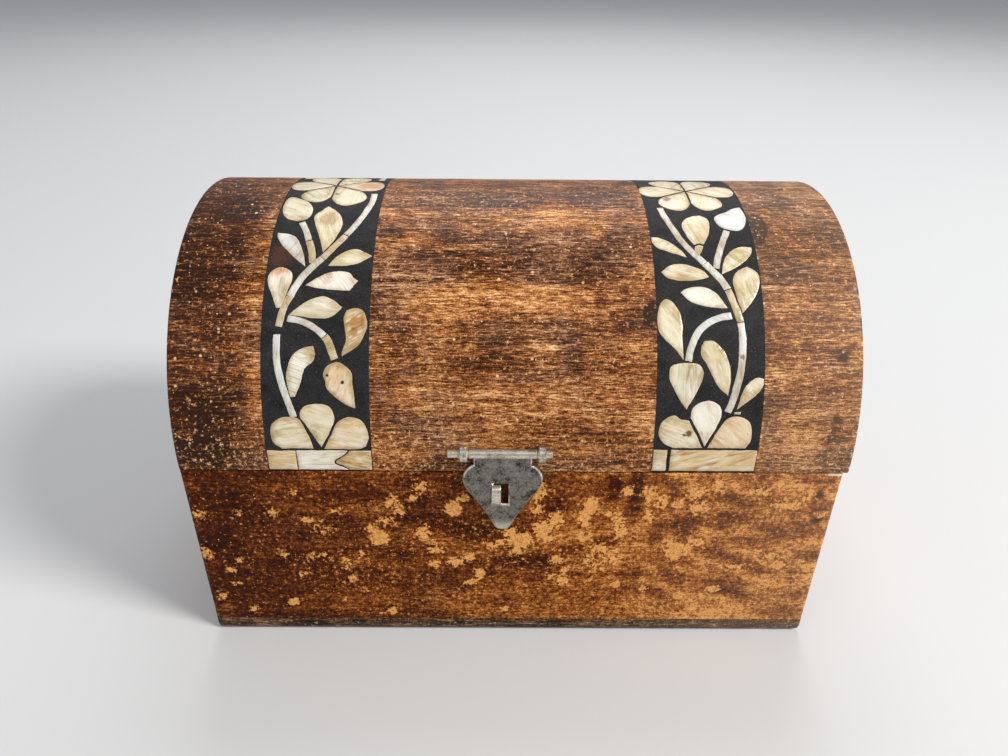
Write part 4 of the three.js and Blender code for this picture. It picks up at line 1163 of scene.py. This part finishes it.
def right_pieces():
    """The right band's pieces of shell on one side: name, outlines and how each looks."""
    stem = [(-10.8, 89.3), (-10.2, 85.2), (-8.8, 80.2), (-6.7, 74.3), (-3.8, 69.3), (-0.5, 65.2),
            (2.4, 61.4), (4.9, 57.7), (6.8, 52.7), (8.3, 47.7), (9.1, 42.7), (9.1, 37.7), (8.7, 32.7),
            (7.7, 27.7), (6.4, 22.7), (5.3, 19.8)]
    side_stem = [(6.2, 48.2), (2.8, 47.5), (-1.1, 45.7), (-4, 42.7), (-5.9, 38.5), (-6.6, 34.7)]
    bud_stem = [(2.9, 63.2), (3.5, 66), (5.3, 71), (7, 75.2), (8.2, 77.9)]
    return {
        "border_1": [
            block(-15.4, -11.2, 0.5, 7.9, CREAM, angle=0, seed=31, stain_share=0.3),
        ],
        "border_2": [
            block(-10.2, 15.4, 0.5, 7.9, GOLD, angle=-18, seed=32, stripes=0.9, rim_share=0.3),
        ],
        "half_flower": [
            leaf([(0.3, 8.5), (2.8, 13.9), (5.2, 17.7), (8.1, 18.7), (11.2, 17.7), (12.9, 14.7),
                  (12.9, 11), (11.7, 8.5)],
                 (0, 7), AMBER, angle=40, seed=33, rim_share=0.3),
            leaf([(-0.5, 8.9), (-2.7, 13.5), (-4.2, 16), (-5.4, 18.1), (-5, 21), (-2.7, 22.8),
                  (-0.2, 23.3), (2.5, 22.2), (3.7, 19.7), (2.8, 16), (1, 12.2)],
                 (0, 3), WHITE, angle=70, seed=34, rim_share=0.2),
            leaf([(-0.9, 8.5), (-9.8, 8.5), (-12.7, 10), (-14.4, 13.1), (-13.8, 16.4), (-11.9, 18.3),
                  (-9.8, 18.9), (-8.2, 17.7), (-5.6, 17.2), (-3, 12.4)],
                 (0, 1, 8), CREAM, angle=20, seed=35, spots=[(51.5, 13.2, 1.0, 1), (50.2, 12.8, 0.6, 1)],
                 stain=(0.2, 0.1, 0.05), lines=0.3),
        ],
        "vine": [
            strip(stem, 2.1, 0.0, 0.36, SILVER, angle=110, seed=36),
            strip(stem, 2.3, 0.3615, 0.5, SILVER, angle=100, seed=37),
            strip(stem, 2.2, 0.5015, 0.64, OLIVE, angle=100, seed=57, stain_share=0.15),
            strip(stem, 2.2, 0.6425, 1.0, SILVER, angle=90, seed=38, spots=[(66, 36, 0.7, 0.9)],
                  stain=(0.4, 0.25, 0.15)),
            strip(side_stem, 2.1, 0.0, 1.0, SILVER, angle=40, seed=39, rim_share=0.3),
            strip(bud_stem, 2.0, 0.0, 1.0, SILVER, angle=70, seed=40),
            leaf([(-2.7, 71.8), (-3.9, 74), (-5.4, 79.3), (-4.4, 82.7), (-1.9, 84.5), (1, 85.3),
                  (3.3, 82.7), (2.8, 77.7), (1.2, 73.6), (0.3, 72), (-1.2, 72.4)],
                 (0, 5, 9), CREAM, angle=70, seed=41, rim_share=0.3),
            leaf([(-1.9, 67.3), (-2.8, 69.6), (-2.5, 71.3), (-1.1, 71.8), (0.1, 71.4), (-0.6, 69.6)],
                 (0, 2, 4), OLIVE, angle=70, seed=58),
            leaf([(-5.2, 66.8), (-6.6, 69.3), (-9.7, 72.7), (-13, 74.6), (-15.4, 74.9), (-15.4, 72.7),
                  (-14, 70.6), (-11.1, 69.2), (-7.7, 67.9)],
                 (0, 4, 5), CREAM, angle=140, seed=42),
            leaf([(0.6, 60.3), (-1.1, 62.4), (-4, 63.9), (-7.7, 64.8), (-10.8, 64.2), (-13.6, 61.8),
                  (-11.5, 59.7), (-7.3, 58.9), (-2.3, 59.3)],
                 (0, 5), CREAM, angle=10, seed=43),
            leaf([(5.3, 50.3), (2.8, 54.3), (0, 56.6), (-3.6, 57.1), (-6.7, 56.3), (-8.3, 55.2),
                  (-6.3, 52.9), (-3.2, 51.3), (1.8, 50.5)],
                 (0, 5), WHITE, angle=150, seed=44),
            leaf([(4.2, 61), (5.2, 65.3), (7.7, 69.3), (11, 71.2), (14.5, 71), (13.9, 68.5), (11.2, 65.3),
                  (7.7, 62.9)],
                 (0, 4), CREAM, angle=40, seed=45, rim_share=0.3),
            leaf([(9.4, 48.8), (8.3, 52.8), (7.3, 58.5), (8.5, 61.8), (12.1, 64), (15, 61.8),
                  (15.3, 58.5), (13.7, 54.3), (11.2, 50.8)],
                 (0, 4), CREAM, angle=80, seed=46, stain_share=0.1),
            leaf([(-8, 35), (-10.8, 38.5), (-14, 41.7), (-15.4, 44.3), (-15.2, 49.3), (-14, 52.2),
                  (-12.2, 53.1), (-9.8, 51), (-8.3, 46.8), (-8.2, 41)],
                 (0,), CREAM, angle=60, seed=47, stain_share=0.1),
            leaf([(-6.7, 20.5), (-8.6, 23.1), (-10.7, 26.8), (-12, 29.7), (-11.8, 32.7), (-10.2, 33.9),
                  (-6.9, 34.3), (-3.6, 33.9), (-2.2, 31.8), (-2.7, 28.5), (-4.7, 24.3)],
                 (0,), OLIVE, angle=90, seed=48, lines=0.4, rim_share=0.3),
            leaf([(12, 77.9), (8.3, 78.4), (6, 80.2), (5.2, 83.1), (6.4, 85.3), (9.5, 87.3), (12.3, 89.2),
                  (14.6, 90), (15.2, 85.2), (14.5, 81)],
                 (7,), SILVER, angle=30, seed=49, rim_share=0.2),
        ],
        "leaf_1": [
            leaf([(5.2, 24.7), (3.3, 26.2), (1, 29.3), (-1.1, 33.5), (-2.9, 36.4), (-3, 38.9),
                  (-1.9, 40.6), (1, 40.5), (3.7, 37.7), (5.3, 33.9), (5.8, 29.3)],
                 (0, 6), CREAM, angle=70, seed=50),
        ],
        "leaf_2": [
            block(7.2, 9.2, 19.2, 20, OLIVE, angle=0, seed=59),
            leaf([(7.9, 20.5), (8.8, 24.3), (10.2, 27.8), (13.1, 30), (15.4, 29.7), (15.2, 27.5),
                  (13.1, 24.7), (10.2, 22.5)],
                 (0, 4), CREAM, angle=30, seed=51),
        ],
    }


def flower_petals(band):
    """The whole flower's six petals: direction, reach and how each looks."""
    if band == "left":
        reaches = [15.6, 14.9, 14.9, 14.7, 14.5, 16.6]
        looks = [AMBER, CREAM, CREAM, OLIVE, OLIVE, CREAM]
        marks = {
            0: dict(spots=[(-46.6, 104.6, 4.4, 0.9)], stain=(0.8, 0.52, 0.28)),
            5: dict(spots=[(-56.8, 97, 0.7, 0.9)], stain=(0.2, 0.15, 0.1)),
        }
    else:
        reaches = [15.6, 15.4, 15.4, 15.2, 15.0, 14.8]
        looks = [CREAM, OLIVE, CREAM, CREAM, AMBER, CREAM]
        marks = {4: dict(spots=[(49.4, 94.8, 1.5, 1)], stain=(0.24, 0.12, 0.06))}
    return [(60 * i, reaches[i], looks[i], marks.get(i, {})) for i in range(6)]


FLOWERS = {"left": (-0.9, 104.6), "right": (-0.5, 101.6)}


def add_inlay():
    for band, pieces in (("left", left_pieces()), ("right", right_pieces())):
        x0 = BAND_X[band]
        for side in ("front", "back"):
            for name, parts in pieces.items():
                node = "pearl_" + band + "_" + side + "_" + name
                stands = [node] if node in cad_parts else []
                bm = shell_mesh()
                looks = []
                for outline, (tone, more) in parts:
                    other = 0 if side == "front" else 50
                    points = roughened([(x0 + x, s) for x, s in outline], more["seed"] + other)
                    if side == "back":
                        points = [(x, ARC - s) for x, s in points]
                    looks.append(shell_look(tone, **more))
                    add_shell(bm, points, len(looks) - 1)
                to_object("shell_" + band + "_" + side + "_" + name, bm, "lid", looks, stands,
                          crease=50)
        bm = shell_mesh()
        looks = []
        for i, (degrees, reach, tone, marks) in enumerate(flower_petals(band)):
            outline = petal_outline(FLOWERS[band], degrees, reach)
            points = roughened([(x0 + x, s) for x, s in outline], 70 + i)
            seed = 70 + i + (10 if band == "right" else 0)
            looks.append(shell_look(tone, angle=25 + 50 * i, seed=seed, **marks))
            add_shell(bm, points, len(looks) - 1)
        to_object("shell_" + band + "_flower", bm, "lid", looks, ["pearl_" + band + "_flower"],
                  crease=50)
        add_ground(band)


def add_ground(band):
    x0 = BAND_X[band]
    seed = 1.0 if band == "left" else 2.0

    def edge(side, s):
        return 0.13 * wave(s * 0.5, seed, side) + 0.07 * wave(s * 2.3, seed, side + 5)

    rows = []
    for s in steps(0.15, ARC - 0.15, LAC_CELL):
        a, b = -BAND_HALF + edge(-1, s), BAND_HALF + edge(1, s)
        rows.append([(x0 + a + (b - a) * k / LAC_COLUMNS, s) for k in range(LAC_COLUMNS + 1)])

    def top(x, s):
        y, z = dome(RADIUS - LAC_SUNK + LAC_WAVES * wave(x * 0.4, s * 0.4, seed), s)
        return x, y, z

    def bottom(x, s):
        y, z = dome(RADIUS - GROOVE + 0.06, s)
        return max(x0 - BAND_HALF + 0.03, min(x0 + BAND_HALF - 0.03, x)), y, z

    def worn(x, s):
        if band == "left":
            return blob(x, s, LAC_WORN)
        return 0.0

    bm = sheet(rows, top, bottom, worn)
    to_object("lac_" + band + "_band", bm, "lid", [LAC], ["inlay_" + band + "_ground"])


# Hasp

def add_box(bm, x0, x1, y0, y1, z0, z1):
    matrix = Matrix.Translation(Vector(((x0 + x1) / 2, (y0 + y1) / 2, (z0 + z1) / 2)) * MM)
    matrix = matrix @ Matrix.Diagonal((abs(x1 - x0) * MM, abs(y1 - y0) * MM, abs(z1 - z0) * MM, 1))
    bmesh.ops.create_cube(bm, size=1.0, matrix=matrix)


def add_tube(bm, x0, x1, y, z, outer, inner=0.0, sides=40, ease=0.15):
    """A round rod or ring along X with eased ends."""
    profile = [(x0, outer - ease), (x0 + ease, outer), (x1 - ease, outer), (x1, outer - ease)]
    profile += [(x1, inner), (x0, inner)]
    rings = []
    for x, r in profile:
        if r == 0:
            rings.append([bm.verts.new(Vector((x, y, z)) * MM)] * sides)
            continue
        ring = []
        for i in range(sides):
            a = 2 * math.pi * i / sides
            ring.append(bm.verts.new(Vector((x, y + r * math.cos(a), z + r * math.sin(a))) * MM))
        rings.append(ring)
    for i in range(len(rings)):
        a, b = rings[i], rings[(i + 1) % len(rings)]
        for j in range(sides):
            k = (j + 1) % sides
            corners = list(dict.fromkeys((a[j], a[k], b[k], b[j])))
            if len(corners) > 2:
                bm.faces.new(corners)


def bevel(obj, width):
    made = obj.modifiers.new("edges", "BEVEL")
    made.width = width * MM
    made.segments = 3
    made.limit_method = "ANGLE"
    made.angle_limit = math.radians(35)
    made.harden_normals = False


def curve_points(start, control, end, count=8):
    out = []
    for i in range(1, count + 1):
        t = i / count
        places = zip(start, control, end)
        out.append(tuple((1 - t) ** 2 * a + 2 * t * (1 - t) * b + t * t * c for a, b, c in places))
    return out


def plate_side():
    """Half width and drop below the rod, down one side of the plate."""
    points = [(8.6, 0.0), (8.6, 2.4), (8.6, 4.6)]
    points += curve_points((8.6, 4.6), (11.4, 6.0), (12.0, 9.4))
    points += curve_points((12.0, 9.4), (12.0, 12.8), (8.8, 16.6))
    points += curve_points((8.8, 16.6), (4.9, 22.8), (2.6, 27.2))
    points += curve_points((2.6, 27.2), (2.0, PLATE_LENGTH), (0.0, PLATE_LENGTH))
    return points


def add_hasp():
    side = plate_side()
    outline = [(HASP_X + w, ROD_Z - d) for w, d in side]
    outline += [(HASP_X - w, ROD_Z - d) for w, d in reversed(side[:-1])]
    slot_x, slot_top = HASP_X + SLOT_SHIFT, ROD_Z - SLOT_DROP
    hole = box_outline(slot_x - SLOT_HALF, slot_x + SLOT_HALF, slot_top - SLOT_HIGH, slot_top)
    bm = bmesh.new()
    for loop in (outline, hole):
        verts = [bm.verts.new(Vector((x, PLATE_BACK - PLATE_THICK, z)) * MM) for x, z in loop]
        for a, b in zip(verts, verts[1:] + verts[:1]):
            bm.edges.new((a, b))
    bmesh.ops.triangle_fill(bm, edges=bm.edges[:], use_beauty=True)
    rims = bmesh.ops.inset_region(
        bm, faces=bm.faces[:], thickness=PLATE_RIM * MM, use_even_offset=True, use_boundary=True)["faces"]
    # The rims take the lighter steel: a painted highlight on rubbed edges
    for face in rims:
        face.material_index = 1
    for vert in {v for e in bm.edges if e.is_boundary for v in e.verts}:
        vert.co.y += PLATE_RIM_DROP * MM
    made = bmesh.ops.extrude_face_region(bm, geom=bm.faces[:])["geom"]
    for vert in (g for g in made if isinstance(g, bmesh.types.BMVert)):
        vert.co.y = PLATE_BACK * MM
    for vert in bm.verts:
        drop = ROD_Z - vert.co.z / MM
        curl = smooth(drop, 23.5, PLATE_LENGTH) * TIP_CURL
        vert.co.y -= curl * MM
    to_object("hasp_plate", bm, "hasp", [STEEL, RUBBED_AND_LIT], ["hasp"])
    for name, left, right, radius, ease in (
        ("knuckle", KNUCKLE_HALF, KNUCKLE_HALF, KNUCKLE_RADIUS, 0.2),
        ("rod", ROD_LEFT, ROD_RIGHT, ROD_RADIUS, 0.14),
    ):
        bm = bmesh.new()
        add_tube(bm, HASP_X - left, HASP_X + right, ROD_Y, ROD_Z, radius, ease=ease)
        to_object("hasp_" + name, bm, "hasp", [NICKEL])
    for name, x in (("left", HASP_X - EYE_X), ("right", HASP_X + EYE_X)):
        bm = bmesh.new()
        add_tube(bm, x - EYE_HALF, x + EYE_HALF, ROD_Y, ROD_Z, EYE_RADIUS, inner=EYE_HOLE, ease=0.25)
        add_box(bm, x - SHANK_HALF, x + SHANK_HALF, ROD_Y + SHANK_START, FRONT + SUNK,
                ROD_Z - SHANK_HALF_HIGH, ROD_Z + SHANK_HALF_HIGH)
        to_object("eye_" + name, bm, "lid", [NICKEL], ["hasp_eye_" + name])
    add_staple()


def add_staple():
    """A flat strip bent to a loop, standing out through the plate's slot."""
    bm = bmesh.new()
    path = staple_path(STAPLE_Z)
    loops = []
    for i, (y, zz) in enumerate(path):
        before, after = path[max(0, i - 1)], path[min(len(path) - 1, i + 1)]
        dy, dz = after[0] - before[0], after[1] - before[1]
        n = math.hypot(dy, dz)
        ny, nz = -dz / n * STAPLE_HALF_THICK, dy / n * STAPLE_HALF_THICK
        corners = [
            (STAPLE_X + sx * STAPLE_HALF, y + sy * ny, zz + sy * nz)
            for sx, sy in ((-1, -1), (1, -1), (1, 1), (-1, 1))
        ]
        loops.append([bm.verts.new(Vector(corner) * MM) for corner in corners])
    for a, b in zip(loops, loops[1:]):
        for j in range(4):
            k = (j + 1) % 4
            bm.faces.new((a[j], a[k], b[k], b[j]))
    bm.faces.new(loops[0])
    bm.faces.new(loops[-1])
    staple = to_object("staple", bm, "base", [NICKEL], ["hasp_staple"])
    bevel(staple, 0.18)


def staple_path(z):
    """The bent strip's middle line in (y, z), from one leg round the crown to the other."""
    crown, half, bend = STAPLE_CROWN, STAPLE_REACH, STAPLE_BEND
    turns = [math.radians(90 * i / 6) for i in range(7)]
    path = [(FRONT + SUNK, z - half), (crown + bend + 0.8, z - half)]
    path += [(crown + bend - bend * math.sin(a), z - half + bend - bend * math.cos(a)) for a in turns]
    path += [(crown + bend - bend * math.cos(a), z + half - bend + bend * math.sin(a)) for a in turns]
    return path + [(crown + bend + 0.8, z + half), (FRONT + SUNK, z + half)]


# Hinges

def add_hinges():
    third = HINGE_HALF / 3
    for name, x in zip(("left", "right"), HINGE_X):
        outer = [(x - HINGE_HALF, x - third - 0.15), (x + third + 0.15, x + HINGE_HALF)]
        inner = [(x - third + 0.15, x + third - 0.15)]
        for part, z0, z1, lengths, body in (
            ("base_leaf", BASE_TOP - LEAF_THICK, BASE_TOP, outer, "base"),
            ("lid_leaf", RIM, RIM + LEAF_THICK, inner, "lid"),
        ):
            bm = bmesh.new()
            add_box(bm, x - HINGE_HALF, x + HINGE_HALF, BACK - LEAF_DEPTH, BACK, z0, z1)
            for a, b in lengths:
                add_box(bm, a, b, BACK - 0.5, HINGE_Y, z0 + 0.02, z1 - 0.02)
                add_tube(bm, a, b, HINGE_Y, HINGE_Z, BARREL_RADIUS, inner=PIN_HOLE, sides=32)
            node = "hinge_" + name + "_" + part
            to_object(node.replace("hinge", "butt"), bm, body, [BRASS], [node])
        bm = bmesh.new()
        add_tube(bm, x - HINGE_HALF - 0.6, x + HINGE_HALF + 0.6, HINGE_Y, HINGE_Z, PIN_RADIUS, ease=0.3,
                 sides=24)
        to_object("butt_" + name + "_pin", bm, "base", [BRASS], ["hinge_" + name + "_pin"])


# Studio

FLOOR_SIZE = 9.0
FLOOR_PAINT = (0.6, 0.6, 0.6, 1)
SKY, SKY_STRENGTH = (0.88, 0.91, 0.96, 1), 0.42
LAMP_AIM = (0, 0, 0.06)
# Each lamp's name, place, size, power and colour
LAMPS = [
    ("key", (1.5, -0.7, 1.4), 0.7, 48.0, (1.0, 0.98, 0.95)),
    ("fill", (-1.4, -1.5, 1.1), 1.4, 5.0, (0.95, 0.97, 1.0)),
    ("top", (0.1, 1.3, 1.6), 1.4, 18.0, (0.97, 0.98, 1.0)),
    ("glint", (0.3, -1.2, 1.7), 0.3, 2.5, (1.0, 0.98, 0.95)),
]


def add_studio():
    scene = bpy.context.scene
    mesh = bpy.data.meshes.new("floor")
    corners = [(x, y, 0) for x, y in box_outline(-FLOOR_SIZE, FLOOR_SIZE, -FLOOR_SIZE, FLOOR_SIZE)]
    mesh.from_pydata(corners, [], [(0, 1, 2, 3)])
    floor = bpy.data.objects.new("floor", mesh)
    scene.collection.objects.link(floor)
    look = Look("floor_paint", roughness=0.55)
    mesh.materials.append(look.finish(FLOOR_PAINT))
    world = bpy.data.worlds.new("studio")
    scene.world = world
    world.use_nodes = True
    back = world.node_tree.nodes["Background"]
    back.inputs["Color"].default_value = SKY
    back.inputs["Strength"].default_value = SKY_STRENGTH
    for name, place, size, power, color in LAMPS:
        data = bpy.data.lights.new(name, "AREA")
        data.shape = "DISK"
        data.size = size
        data.energy = power
        data.color = color
        lamp = bpy.data.objects.new(name, data)
        lamp.location = place
        aim = Vector(LAMP_AIM) - Vector(place)
        lamp.rotation_euler = aim.to_track_quat("-Z", "Y").to_euler()
        scene.collection.objects.link(lamp)


CAMERA_PLACE = (-4.1, -249.3, 205.8)
CAMERA_TILT = 30.07
CAMERA_YAW = -0.413
CAMERA_ROLL = 0.557
CAMERA_LENS = 27.04


def add_camera():
    scene = bpy.context.scene
    data = bpy.data.cameras.new("camera")
    data.sensor_width = 36.0
    data.lens = CAMERA_LENS
    data.clip_start = 0.01
    camera = bpy.data.objects.new("camera", data)
    pitch, yaw, roll = math.radians(CAMERA_TILT), math.radians(CAMERA_YAW), math.radians(CAMERA_ROLL)
    c, s = math.cos(yaw), math.sin(yaw)
    right = Vector((c, s, 0))
    ahead = Vector((-s * math.cos(pitch), c * math.cos(pitch), -math.sin(pitch)))
    up = Vector((-s * math.sin(pitch), c * math.sin(pitch), math.cos(pitch)))
    turned_right = math.cos(roll) * right + math.sin(roll) * up
    turned_up = -math.sin(roll) * right + math.cos(roll) * up
    matrix = Matrix((turned_right, turned_up, -ahead)).transposed().to_4x4()
    matrix.translation = Vector(CAMERA_PLACE) * MM
    camera.matrix_world = matrix
    scene.collection.objects.link(camera)
    scene.camera = camera
    scene.view_settings.view_transform = "Standard"


add_studio()
add_camera()
add_base()
add_lid()
add_inlay()
add_hasp()
add_hinges()
